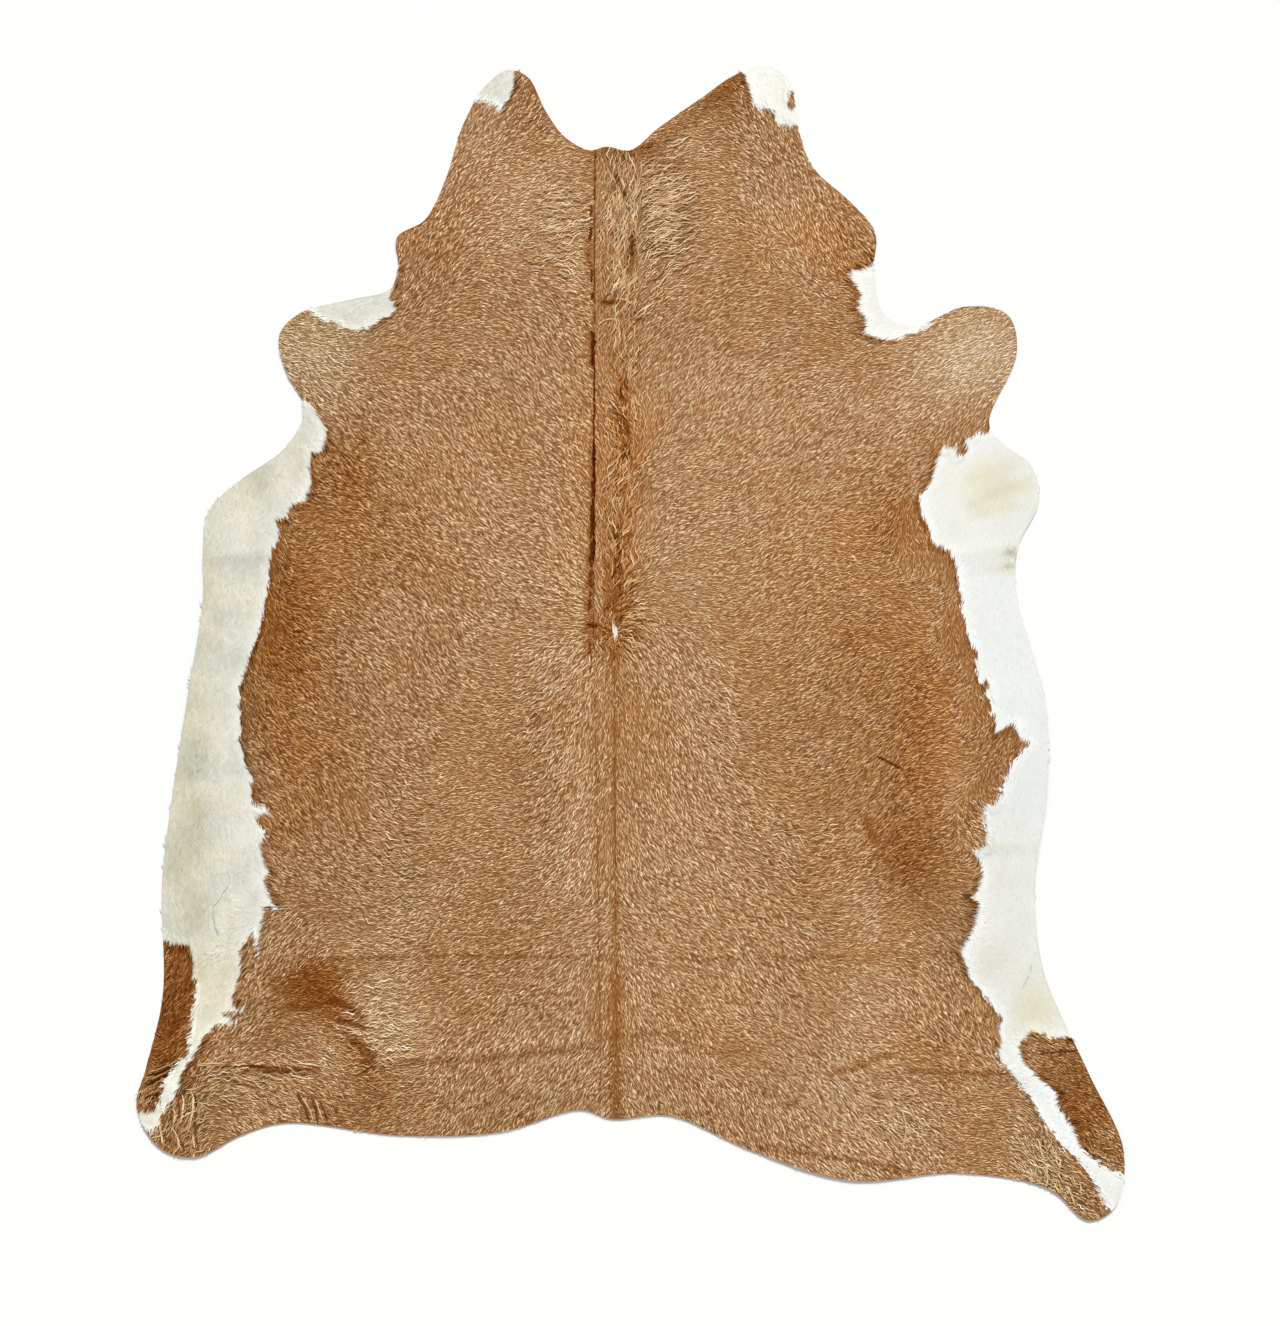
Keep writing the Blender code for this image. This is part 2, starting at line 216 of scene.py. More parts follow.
# Soft changes of the tan coat: tone is its lightness and warmth its redness, both as shares of the
# palette. The turn is in degrees, from the row's first reach towards the neck.
Shade = namedtuple("Shade", "name x y reach_x reach_y tone warmth turn", defaults=[0])
TAN_SHADES = rows(
    Shade,
    ("left side", -54, 82, 14, 38, -0.05, 0.15),
    ("left side, low", -58, 36, 11, 13, -0.06, -0.16),
    ("left loins", -20, 34, 26, 25, -0.06, -0.2),
    ("rump foot", -12, 2, 42, 8, -0.1, -0.12),
    # Painted shade, as along every edge with the white: darker at the left flank's border
    ("left flank edge", -67, 68, 3, 22, -0.17, -0.16),
    ("right haunch", 47, 28, 9, 22, 0.08, 0.02),
    ("right flank, behind", 63, 63, 6, 9, 0.11, 0),
    ("left thigh edge", -63, 17, 8, 6, -0.1, -0.06),
    ("right elbow, behind", 57, 90, 6, 12, 0.07, -0.08),
    ("right shoulder, low", 34, 111, 16, 8, 0.055, 0),
    ("right hip edge", 65, 32, 7, 12, -0.09, -0.2),
    ("right hind leg", 77, 0, 8, 9, -0.05, -0.14),
    ("right foreleg, inner", 50, 131, 13, 9, 0.07, -0.04),
    ("left elbow", -46, 146, 6, 6, -0.03, -0.28),
    ("left neck edge", -25, 187, 5, 5, 0, -0.3),
    ("right side", 52, 82, 20, 40, -0.02, 0.22),
    ("right foot", 84, -10, 9, 8, 0.05, -0.34),
    ("left flank", -60, 90, 7, 18, -0.07, 0.26),
    ("left flank core", -60, 89, 4.5, 10, -0.08, 0.19),
    ("left flank, lower", -59, 62, 9, 14, -0.03, 0.11),
    ("left elbow spot", -49, 118, 5.5, 6, -0.09, 0.22),
    ("left hip", -54.8, 25, 6.2, 5.2, -0.2, 0.65),
    ("left hip, lower", -51.5, 21.5, 3.5, 3, -0.1, 0.45),
    ("left hip trail", -46, 13, 3, 8, -0.12, 0.4, 32),
    ("right shoulder", 22, 130, 11, 12, 0.06, 0),
    ("right of the mane streak", 14, 112, 9, 14, 0.03, -0.05),
    ("beside the parting", -5.5, 118, 5, 34, 0.085, 0.2),
    ("left shoulder", -24, 117, 17, 18, 0.08, 0.04),
    ("mane strip", 5, 112, 5, 38, 0.04, 0.08),
    ("right of the back", 28, 112, 34, 45, 0.075, 0.1),
    ("right thigh", 46, 2, 15, 11, -0.04, -0.04),
    ("right neck", 11, 168, 5, 6, -0.06, -0.04),
    ("right neck, outer", 24, 167, 15, 15, 0.075, 0.08),
    ("left neck", -14, 172, 13, 14, 0.13, -0.1),
    ("right flank, red", 61, 74, 5, 8, 0.1, 0.2),
    ("left rump foot", -45, 2, 10, 5, -0.08, 0.1),
    ("left cheek", -33, 160.5, 7, 7, -0.02, 0.1),
    ("left neck flap", -14, 186, 4, 6, -0.06, 0.19),
    ("right neck flap", 21.6, 188.5, 4, 5.5, -0.06, 0.19),
    ("right cheek edge", 43.5, 162.5, 5, 7, -0.04, 0.19),
    ("right cheek fan", 35, 164, 7, 8, 0.13, 0.12),
    ("right elbow spot", 50.5, 111.5, 5.5, 6.5, -0.05, 0.26),
    ("right flank", 58, 73.5, 4.5, 16, -0.07, 0.3),
    ("right flank core", 53.5, 49.5, 8.5, 7.5, -0.14, 0.22),
    ("right flank tip", 69.5, 66, 5, 8, -0.05, 0.1),
    ("right hip", 59, 14.5, 8, 5, -0.05, 0.15),
    ("back stripe", 1.8, 122, 3, 20, -0.015, 0.26),
    ("back stripe, withers", 3.2, 123, 2.4, 7.5, -0.08, 0.2),
    ("withers", 3, 128, 4, 5, 0.1, 0.16),
    ("back stripe, whorl", 1.8, 100, 2.6, 7, -0.04, 0.3),
    ("back stripe, core", 0.5, 97, 1.3, 5, -0.12, 0.55),
    ("whorl", 0.9, 89.5, 3, 3.5, -0.06, 0.4),
    ("nape edge", 2.2, 178.4, 5, 1.8, -0.2, 0.45),
    ("left foreleg", -56, 142, 9, 8, 0.06, -0.78),
    ("right foreleg", 67, 141, 12, 9, 0.28, -0.56),
    ("left hind leg", -76, 4, 12, 11, -0.1, -0.36),
    ("left rump", -40, 19, 8, 8, 0.09, -0.3),
    ("left of the back line", -6, 56, 4, 22, 0.08, 0),
    ("left middle, red", -29, 98, 10, 8, 0, 0.15),
    ("left middle, low", -27, 58, 9, 8, 0.05, 0),
    ("right of the back line", 17, 85, 11, 17, 0.03, -0.08),
    ("right seat", 38, 1, 20, 10, 0.05, -0.06),
    ("left leg patch", -81, 17, 6.5, 18, -0.22, 0.6),
    ("right leg patch", 88, -1, 8, 15, -0.18, 0.36),
    ("left of the parting, back", -5, 100, 3.5, 9, 0.06, 0),
    ("left of the parting, neck", -6, 160, 3.5, 7, 0.1, 0),
    ("right neck, low", 13, 154, 7, 6, 0.06, 0.06),
    ("right neck, top", 13, 179, 6, 5, 0.06, -0.08),
    ("neck curls", 9, 168, 5, 5, -0.05, -0.12),
    ("mane", 2, 170, 3, 9, -0.05, -0.12),
    ("right back", 12, 62, 8, 20, 0.03, 0.1),
    ("right croup", 15, 25, 16, 12, 0.06, 0.08),
    ("beside the whorl", -14, 86, 8, 9, 0, -0.12),
    ("right flank, red spot", 53, 65, 4, 5, 0, 0.18),
    ("right middle", 34, 95, 10, 9, 0.045, 0.13),
    ("right loin spot", 45, 50, 4, 8, 0.09, 0),
    ("right loin, dark", 54, 44, 6, 5, -0.06, 0),
    ("right flank, inner", 53, 74, 4, 10, -0.045, 0),
    ("right thigh, red", 57, 20, 8, 9, 0.08, 0.12),
    ("right loin, cool", 47, 39, 4, 6, 0.05, -0.08),
    ("right haunch, cool", 47, 20, 7, 7, 0, -0.2),
    ("right loin, inner", 18, 42, 6, 6, 0.05, 0.06),
    ("right of the whorl", 12, 98, 6, 6, 0, -0.18),
    ("right cheek, red", 42, 162, 7, 8, 0.04, 0.26),
    ("left back", -13, 64, 5, 14, -0.045, 0),
    ("left loin spot", -51, 31, 4, 4, 0.06, 0),
    ("left flank, behind", -53, 100, 5, 6, 0.07, 0.1),
    ("left shoulder, outer", -42, 112, 14, 16, 0, 0.2),
    ("left loin, red", -24, 24, 9, 18, 0, 0.18),
    ("left loin, cool", -46, 36, 8, 8, 0, -0.14),
    ("left cheek, red", -30, 167, 6, 7, 0.03, 0.25),
)

# Soft changes of the white coat. Here warmth 0 is a cool grey, 0.5 clear white and 1 cream.
WHITE_SHADES = rows(
    Shade,
    ("right half", 80, 60, 25, 130, -0.06, -0.32),
    ("right flank, low", 73, 38, 9, 18, -0.06, 0.12),
    ("left flank, low", -76, 46, 9, 12, -0.03, 0.06),
    ("left strip", -75, 16, 7, 9, 0.12, 0.5),
    ("left flank, outer", -79, 60, 6, 45, -0.14, 0.25),
    ("left chest", -66, 118, 7, 6, -0.12, 0.32, 30),
    ("left belly", -75, 97, 8, 6, -0.06, 0.2),
    ("left knee", -72, 24, 6, 12, -0.06, 0.3),
    ("left toe", -82, 3, 6, 6, 0.06, 0.3),
    ("right chest stain", 72, 116, 6.5, 6, -0.09, 0.5),
    ("right chest", 68, 117, 6, 5, -0.02, 0.3),
    ("right belly stain", 74.2, 104, 1.5, 1.1, -0.36, 0.7),
    ("right belly stain, lower", 73.8, 101.4, 1.6, 0.7, -0.26, 0.7),
    ("right knee", 79, 19, 5, 7, -0.12, 0.75),
    ("right thigh", 70, 29, 4, 4, -0.08, 0),
)

# Narrow marks along a line, painted into the coat's tone. Some are the coat's own darker streaks, such
# as the back lines and the mane streak; most are painted shade in partings, over the darker roots that
# show there, and in folds, creases and troughs, and painted light along ridges and the crests of folds.
# The bow is how far the middle lies to the side.
# The break share is how far the mark comes and goes along its length.
Mark = namedtuple("Mark", "name start end bow half_width tone warmth break_share")
BREAK_STEP, BREAK_GAIN, BREAK_SEED = 1.4 * CM, 1.1, 900
TAN_MARKS = rows(
    Mark,
    ("spine parting", PARTING_TOP, PARTING_END, 0, 0.22, -0.2, 0.4, 0.7),
    ("left of the parting, withers", (-3.8, 145.5), (-3.7, 139.5), 0, 0.35, -0.4, 0.52, 0.1),
    ("left of the parting, nape", (-3.9, 164), (-3.9, 157), 0, 0.35, -0.35, 0.45, 1.0),
    ("left of the parting, back", (-3.3, 125), (-3.8, 103), 0, 0.36, -0.34, 0.52, 0.5),
    ("left of the parting, whorl", (-3.9, 104), (-4.1, 86), 0, 0.6, -0.36, 0.6, 0.6),
    ("parting corner", (-3.9, 91.4), (-2.2, 91.2), 0, 0.4, -0.35, 0.52, 0.1),
    ("left hock fold", (-68, 9.4), (-54, 9.2), 0, 0.5, -0.2, 0.35, 0.4),
    ("mane streak", (2.3, 136), (2.9, 124), -0.2, 1, -0.13, 0.3, 0.5),
    ("mane streak, lower", (2.6, 116), (1.8, 106), 0.2, 0.8, -0.12, 0.3, 0.5),
    ("back line", (0.7, 87), (1.2, 0.5), 0, 0.6, -0.1, 0.25, 0.6),
    ("back line, tail end", (1, 26), (0.9, 0.5), 0.1, 1.2, -0.12, 0.35, 0.4),
    ("second back line", (-2.8, 79), (-1.7, 2), 0.1, 0.3, -0.1, 0.22, 0.7),
    ("mane gap", (3.9, 163.5), (3.4, 157), 0.2, 0.5, -0.36, 0.3, 0.3),
    ("mane gap, upper", (-0.2, 176), (2.8, 170), 0.3, 0.35, -0.3, 0.3, 0.4),
    ("right neck edge", (6.5, 179.3), (23.5, 193), -1, 1, -0.15, 0.26, 0.3),
    ("withers tuck", (-1.8, 151.3), (2.6, 151), -0.2, 0.42, -0.3, 0.5, 0.1),
    ("hip trough, outer", (-59.4, 20.9), (-55.4, 20.3), -0.2, 0.4, -0.3, 0.4, 0.1),
    ("hip trough", (-51.5, 21.8), (-45.6, 18.7), 0.4, 0.45, -0.4, 0.45, 0.2),
    ("hip trough, lower", (-50.2, 18.3), (-45.4, 16.7), 0.3, 0.4, -0.42, 0.45, 0.2),
    ("hip trough, last", (-47.2, 14), (-44.2, 11.4), 0.3, 0.7, -0.36, 0.4, 0.3),
    ("hip ridge", (-57, 19.3), (-50, 20.3), 0.4, 0.3, 0.2, -0.15, 0.4),
    ("hip ridge, lower", (-50.5, 17.2), (-44.6, 14.8), 0.3, 0.35, 0.24, -0.15, 0.4),
    ("left loin fold", (-52, 29.6), (-1.9, 29.8), 0.4, 0.3, -0.24, 0.12, 0.5),
    ("left loin fold, light", (-50, 30.9), (-4, 31.1), 0.4, 0.6, 0.06, -0.04, 0.6),
    ("right loin fold", (12, 29.8), (64, 31.1), -0.4, 0.35, -0.16, 0.1, 0.6),
    ("left rump fold", (-39.6, 10.6), (-2.6, 13.8), -0.6, 0.65, -0.2, 0.11, 0.4),
    ("left rump fold, light", (-36, 12.6), (-6, 15), -0.6, 0.7, 0.07, -0.04, 0.5),
    ("right hock fold, inner", (40.5, 8.1), (51.1, 11.7), 0.3, 0.35, -0.34, 0.22, 0.3),
    ("right hock fold", (55.7, 8.9), (74.2, 8.7), -0.3, 0.4, -0.36, 0.3, 0.5),
    ("right seat fold", (27.9, -5.4), (54.9, -9.6), 0.5, 0.4, -0.3, 0.22, 0.4),
    ("croup band", (-1.9, 15.4), (16.6, 15.4), 0, 0.8, -0.12, 0.08, 0.4),
    ("croup band, lower", (14.8, 12.6), (26.8, 12.6), 0, 0.6, -0.1, 0.08, 0.4),
    ("right flank crease", (45.3, 56.8), (49, 51.1), 0.4, 0.6, -0.2, 0.3, 0.5),
    ("right back wrinkle", (21.6, 76.6), (23.5, 69.6), 0.3, 0.5, 0.16, -0.08, 0.3),
)
WHITE_MARKS = rows(
    Mark,
    ("right chest streak", (66.7, 113.4), (77.5, 117.6), 0.3, 0.8, -0.12, 0.3, 0.4),
    ("right chest streak, low", (66.4, 111), (74.5, 113.4), 0.3, 0.5, -0.1, 0.3, 0.4),
    ("right chest streak, upper", (66, 118), (76, 121.4), 0.3, 0.6, -0.08, 0.3, 0.5),
    ("left chest crease", (-74.7, 102.9), (-63.3, 104), 0.3, 0.6, -0.14, 0.25, 0.3),
    ("left belly crease", (-75.8, 87.5), (-71.6, 87.5), 0, 0.6, -0.08, 0.1, 0.3),
    ("right chest crease", (67, 105.1), (75.8, 104.7), 0.2, 0.5, -0.12, 0.1, 0.3),
    ("right chest crease, lower", (67, 101.4), (75.8, 101.4), 0.2, 0.5, -0.12, 0.2, 0.3),
    ("right flank crease", (69.6, 50.5), (79, 50.5), 0, 0.5, -0.12, 0.1, 0.3),
)

# Lines along which the hair lies drawn together. Along the back and the mane, in the bare slivers and in
# the veins of the white they are the coat's own colour. Elsewhere the dark ones are painted shade in
# partings, tucks and folds, over the darker roots that show there, and the pale ones are paler hair and
# painted light on the crests of curls and ridges.
# Width and strand length are in millimetres, tone and warmth are places in the palette, and the gap
# share is how much of the line is left out.
LaidLine = namedtuple("LaidLine", "name start end bow width strand tone warmth gap_share", defaults=[0])
TAN_LINES = rows(
    LaidLine,
    ("parting, nape", (-2.9, 178.5), (-3, 170), 0.1, 2.6, 12, 0.16, 0.95, 0.4),
    ("parting, nape blotch", (-3.5, 169.2), (-3.9, 166.8), 0, 5, 12, 0.2, 0.95),
    ("parting, neck", (-3, 167), (-3, 147), 0, 2, 12, 0.26, 0.95, 0.5),
    ("parting, neck blotch", (-3.7, 165), (-3.9, 161.8), 0, 5, 12, 0.16, 0.95, 0.1),
    ("parting, crest blotch", (-3.6, 157.2), (-3.6, 154.6), 0, 4.4, 12, 0.18, 0.95),
    ("parting, upper blotch", (-3.5, 153), (-3.4, 151.4), 0, 4, 12, 0.18, 0.95),
    ("parting, withers", (-3.4, 146), (-3.2, 139.2), 0, 6, 14, 0.08, 1),
    ("parting, shoulders", (-3, 140), (-3.1, 125), 0, 3.4, 14, 0.14, 0.95, 0.2),
    ("parting, back", (-3.1, 125.5), (-3.2, 103), 0, 5, 14, 0.05, 1, 0.05),
    ("parting, back side", (-3.5, 118), (-3.8, 102), 0.1, 5, 12, 0.14, 0.95, 0.4),
    ("parting, whorl", (-3.8, 103), (-4.3, 93), 0.2, 6, 11, 0.18, 0.9, 0.4),
    ("parting, corner", (-4.3, 91.5), (-2.2, 91.3), 0, 5, 11, 0.14, 1),
    ("parting, foot", (-4.1, 89), (-3.7, 82), 0.2, 3, 10, 0.26, 0.9, 0.4),
    ("parting, bare sliver", (-3.95, 85.7), (-3.8, 83.6), 0, 1.8, 14, 0.9, 0.1),
    ("whorl, bare sliver", (0.4, 92.6), (0.9, 90.4), 0, 1.6, 22, 0.98, 0.05),
    ("withers tuck", (-1.6, 151.3), (2, 151.1), -0.3, 3.4, 12, 0.24, 0.95, 0.1),
    ("withers tuck, light", (1.2, 151.7), (4, 150.6), 0.2, 1.8, 16, 0.74, 0.35),
    ("mane strand", (-1.9, 136.5), (2, 131.6), 0.4, 1.6, 18, 0.72, 0.35, 0.2),
    ("mane strand, second", (-1.1, 134.3), (1.7, 130), 0.3, 1.5, 18, 0.68, 0.4, 0.2),
    ("mane strand, middle", (2, 131.6), (2.7, 125.4), -0.2, 1.6, 20, 0.72, 0.35, 0.2),
    ("mane strand, lower", (3.3, 122.7), (3, 116.2), 0.2, 1.5, 18, 0.7, 0.35, 0.3),
    ("mane strand, last", (2.9, 113.4), (2.2, 106.9), -0.2, 1.5, 18, 0.7, 0.35, 0.3),
    ("back line", (0.7, 84), (0.9, 46), 0, 2.2, 20, 0.34, 0.95, 0.45),
    ("back line, low", (0.9, 46), (1.2, 2), 0, 2.2, 20, 0.38, 0.95, 0.55),
    ("second back line", (-2.8, 79), (-1.8, 4), 0, 1.8, 18, 0.34, 0.9, 0.6),
    ("hip curl", (-50.3, 17.2), (-46.3, 15.7), 0.3, 2, 16, 0.6, 0.4, 0.1),
    ("nape tuck", (1.7, 168.8), (4.6, 168.6), -0.3, 3.4, 14, 0.24, 0.7),
    ("withers arch", (-2.4, 146.5), (2.2, 147), 1.1, 2.4, 13, 0.72, 0.3, 0.1),
    ("left hock fold", (-72, 9.6), (-63, 9.6), 0.2, 3.2, 16, 0.2, 0.95, 0.4),
    ("left hock fold, middle", (-64.4, 9.1), (-57, 9.4), -0.3, 6.5, 18, 0.22, 0.75, 0.1),
    ("left hock fold, inner", (-57.6, 9.3), (-54.4, 8.6), 0.3, 3, 14, 0.3, 0.75, 0.2),
    ("left hock curl", (-57.8, 10.1), (-53.9, 9.6), 0.3, 2.6, 16, 0.82, 0.3),
    ("left hock curl, lower", (-59, 8.2), (-54.8, 7.5), -0.3, 2.6, 16, 0.8, 0.3),
    ("left hock ridge", (-76.5, 10), (-71.5, 10.2), 0.2, 2.6, 18, 0.68, 0.3),
    ("left toe arc", (-77.6, 5.6), (-78.4, -2.4), 0.8, 3.2, 26, 0.84, 0.25),
    ("left toe arc, shade", (-77, 5.2), (-77.7, -2.6), 0.8, 3.6, 24, 0.12, 0.5),
    ("left toe arc, inner shade", (-78.3, 5.2), (-79, -1.9), 0.7, 3, 24, 0.16, 0.5),
    ("left toe arc, middle", (-79.2, 4.9), (-79.6, -0.9), 0.4, 3, 26, 0.82, 0.25),
    ("left toe arc, middle shade", (-79.9, 4.6), (-80.3, -1), 0.4, 3.4, 24, 0.16, 0.5),
    ("left toe arc, outer", (-80.9, 2.4), (-81, -1.2), 0.5, 2.8, 18, 0.76, 0.25),
    ("left toe arc, outer shade", (-81.6, 2.2), (-81.6, -1.2), 0.5, 3, 18, 0.2, 0.5),
    ("left toe arc, tip", (-83.6, -1), (-82.7, -4.6), 0.1, 3, 20, 0.82, 0.25),
    ("left toe arc, tip shade", (-83, -1), (-82.1, -4.6), 0.1, 3, 20, 0.18, 0.5),
    ("left toe arc, foot", (-81, -1.3), (-79.4, -6), 0.2, 3, 22, 0.76, 0.25),
    ("left toe arc, foot shade", (-80.4, -1.3), (-78.8, -6), 0.2, 3, 20, 0.18, 0.5),
    ("left toe curl, inner", (-77.2, -2.2), (-76.7, -5.4), -0.2, 2.8, 18, 0.78, 0.25),
    ("left toe curl, inner shade", (-76.6, -2.2), (-76.1, -5.4), -0.2, 2.8, 18, 0.2, 0.5),
    ("left leg wrinkle", (-85.6, 8.6), (-79.6, 11), -0.2, 2.6, 26, 0.5, 0.5),
    ("left leg wrinkle, shade", (-85.6, 7.9), (-79.8, 10.3), -0.2, 3.4, 26, 0.02, 0.9),
    ("left leg wrinkle, lower", (-85.6, 7.1), (-81, 9.2), -0.1, 2.4, 24, 0.48, 0.5),
    ("left leg wrinkle, low shade", (-85.8, 6.4), (-81.4, 8.5), -0.1, 3.4, 24, 0.04, 0.9),
    ("left leg wrinkle, third", (-85.4, 5.8), (-83.2, 6.9), 0, 2.4, 20, 0.48, 0.5),
    ("left leg wrinkle, fourth", (-85.6, 4.4), (-82.8, 5.6), 0, 2.4, 20, 0.46, 0.5),
    ("left leg wrinkle, foot shade", (-86.2, 3.8), (-83, 4.9), 0, 3, 20, 0.06, 0.9),
    ("left heel groove", (-58.2, 5), (-55.6, -0.8), 0.3, 4, 22, 0.18, 0.6),
    ("left heel ridge", (-57.4, 4.6), (-54.9, -0.8), 0.3, 2.8, 22, 0.66, 0.35),
    ("left heel groove, inner", (-55.5, 4.4), (-54, -0.8), 0.2, 4, 22, 0.18, 0.6),
    ("left heel ridge, inner", (-54.8, 3.8), (-53.2, -0.8), 0.2, 2.8, 22, 0.68, 0.35),
    ("left heel groove, last", (-54, 3.6), (-52.4, -0.6), 0.2, 3, 22, 0.22, 0.6),
    ("right toe curl", (79.2, -3.7), (80.3, -8.3), -0.2, 2.8, 20, 0.8, 0.2),
    ("right toe curl, first shade", (79.8, -3.7), (80.9, -8.3), -0.2, 3, 20, 0.2, 0.4),
    ("right toe curl, upper", (81.6, -4), (80.8, -6), -0.2, 2.8, 18, 0.78, 0.2),
    ("right toe curl, lower", (80.4, -8.3), (80.1, -13), 0.4, 3, 20, 0.76, 0.2),
    ("right toe curl, shade", (80.9, -8.3), (80.6, -13), 0.4, 3, 20, 0.2, 0.4),
    ("right toe curl, middle", (83.2, -7.2), (82.9, -10.8), -0.3, 3, 20, 0.8, 0.2),
    ("right toe curl, middle shade", (83.7, -7.2), (83.4, -10.8), -0.3, 3, 20, 0.2, 0.4),
    ("right toe curl, outer", (86.4, -11.4), (86.8, -13.8), 0.2, 2.8, 18, 0.76, 0.2),
    ("right toe curl, tip", (84.4, -12.6), (85.6, -16), 0.2, 2.8, 18, 0.74, 0.2),
    ("right heel arc", (53, 2.4), (53.8, -5), 1.2, 2.6, 20, 0.68, 0.3, 0.1),
    ("right leg wrinkle", (78.4, 12), (87, 12.5), 0.2, 2.6, 20, 0.1, 0.8, 0.15),
    ("right leg wrinkle, light", (78.6, 12.7), (84, 13.1), 0.2, 2.2, 18, 0.44, 0.4, 0.3),
    ("right flank nick", (49, 67.2), (54.2, 64.6), 0, 2.6, 16, 0.2, 0.9, 0.1),
)
WHITE_LINES = rows(
    LaidLine,
    ("left vein, upper", (-70.5, 44.2), (-73.6, 39.2), 0.2, 2.2, 24, 0.5, 0.1),
    ("left vein", (-73.4, 39.6), (-72.3, 33.7), -0.5, 3.4, 22, 0.3, 0.1),
    ("right vein", (77.9, 28.9), (75.9, 24.1), 0.2, 2.8, 22, 0.42, 0.1),
)

# Small wrinkles that lift the coat, with their height in millimetres
Wrinkle = namedtuple("Wrinkle", "name start end bow half_width height")
WRINKLES = rows(
    Wrinkle,
    ("left toe curl, inner", (-79.4, 6), (-79.0, -1.5), -0.5, 0.5, 2.6),
    ("left toe curl, middle", (-81.0, 4.5), (-80.6, -1.0), -0.5, 0.5, 2.4),
    ("left toe curl, outer", (-83.2, 2.5), (-82.0, -3.5), 0.3, 0.5, 2.2),
    ("left leg wrinkle, upper", (-86.5, 9.5), (-79.5, 12.5), 0.3, 0.5, 2.2),
    ("left leg wrinkle", (-87.0, 6.8), (-81.5, 8.8), 0.3, 0.5, 2.2),
    ("left leg wrinkle, lower", (-87.0, 4.4), (-83.0, 5.6), 0.3, 0.5, 1.8),
    ("right toe curl, upper", (80.5, -5), (84.5, -11), 0.5, 0.5, 2.2),
    ("right toe curl, middle", (83.0, -6), (87.0, -12.5), 0.5, 0.5, 2.2),
    ("right toe curl, lower", (86.0, -9), (89.5, -15), 0.4, 0.5, 2.0),
    ("right heel arc", (53, 2.8), (53.8, -5.2), 1.3, 0.6, 1.8),
    ("left heel ridge", (-57.2, 5), (-56.4, -0.2), 0.3, 0.5, 1.6),
)

# Where the coat is longer and curlier, as soft round areas. The count is that of the long wavy
# strands that lie over it there, their length is in millimetres, and their tone is added.
CurlyArea = namedtuple("CurlyArea", "name x y reach_x reach_y count length tone")
CURLY_AREAS = rows(
    CurlyArea,
    ("right of the parting", 8.5, 167, 4, 10, 430, 36, 0.14),
    ("mane", 1.5, 162, 2.6, 14, 300, 34, 0.12),
    ("left of the parting", -8, 165, 4, 11, 150, 30, 0.08),
    ("withers", 2.5, 138, 3, 9, 120, 28, 0.06),
    ("back stripe", 2, 110, 2.4, 18, 280, 28, 0.14),
    ("back stripe, dark", 1.8, 103, 1.7, 9, 90, 24, -0.16),
    ("mane streak", 2.6, 128, 1.2, 7, 60, 26, -0.18),
    ("back whorl", 1, 90, 3.2, 4, 100, 22, 0.06),
    ("left back", -10, 75, 7, 14, 60, 24, 0.12),
    ("left loin", -38, 46, 5, 12, 90, 22, 0.1),
    ("right back", 21, 72, 4, 9, 50, 22, 0.1),
    ("left rump", -42, 16, 6, 9, 130, 26, 0.14),
    ("left toe", -79, 2, 5, 6, 130, 34, 0.16),
    ("left hock", -66, 7, 8, 4, 90, 26, 0.12),
    ("right toe", 84, -9, 6, 7, 130, 32, 0.16),
    ("right seat", 52, 1, 9, 6, 80, 24, 0.1),
    ("right loin", 32, 46, 10, 12, 60, 24, 0.12),
)

# Shares of the palette
MIDDLE_TONE, TAN_WARMTH = 0.575, 0.57
WHITE_TONE, WHITE_WARMTH = 0.68, 0.5
LEFT_WHITE_TONE, LEFT_WHITE_WARMTH = -0.2, 0.1  # what the left half of the white adds
LEFT_WHITE_FADE = 20 * CM

# How the hairs of one kind differ from their neighbours: the shortest and longest as shares of the
# set length, the scatter of their headings in degrees, how far they may hang over the rim, and how
# far their roots lie over the skin
Habit = namedtuple("Habit", "lengths scatter overhang lift")
TAN_HABIT = Habit((0.75, 1.25), 9, 0.5 * MM, 0.2 * MM)
WHITE_HABIT = Habit((0.8, 1.2), 6, 0.0, 0.0)
EDGE_HABIT = Habit((0.6, 1.4), 5, 0.5 * MM, 1.0 * MM)
STRAND_HABIT = Habit((0.6, 1.25), 5, 1 * MM, 0.8 * MM)
LAID_HABIT = Habit((0.8, 1.1), 4, 0.5 * MM, 1.8 * MM)

# How neighbours stray from the comb together: over which step, how far in degrees, and how much
# further where the coat is unruly
Drift = namedtuple("Drift", "step calm unruly", defaults=[0])
TAN_DRIFTS = rows(Drift, (24 * MM, 5, 6), (9 * MM, 5, 5))
WHITE_DRIFT = Drift(30 * MM, 12)
EDGE_DRIFT = Drift(12 * MM, 12)
STRAND_DRIFT = Drift(24 * MM, 22)

# The tan coat
ROOT_SHAKE = 0.36  # how far roots are moved off an even grid, in spacings
ROOT_CLEARANCE = 0.5 * MM  # from the cut edge
UNREST, UNREST_STEP = 0.5, 9 * CM  # how unruly it is, and over which step that changes
CURL_UNREST = 0.8  # what curls add to it
UNRULY_SCATTER = 7  # degrees that unruly coat adds
CURL_LENGTH, CURL_STREAKS = 0.3, 0.5  # what curly coat adds to a lock's length and to its streaks
TUFT_PULL = 0.08
TUFT_SHAKE, TUFT_MARGIN = (0.1, 0.9), 2  # where in its cell a tuft's point lies; cells past the box
MARK_SHORTENS, MARK_FULL_TONE = 0.45, 0.2  # locks are shorter in a mark, most from this tone on
TONE_BLOTCHES = ((0.02, 5 * CM), (0.04, 13 * CM))
WARMTH_BLOTCH, WARMTH_BLOTCH_STEP, WARMTH_SCATTER = 0.1, 7 * CM, 0.12

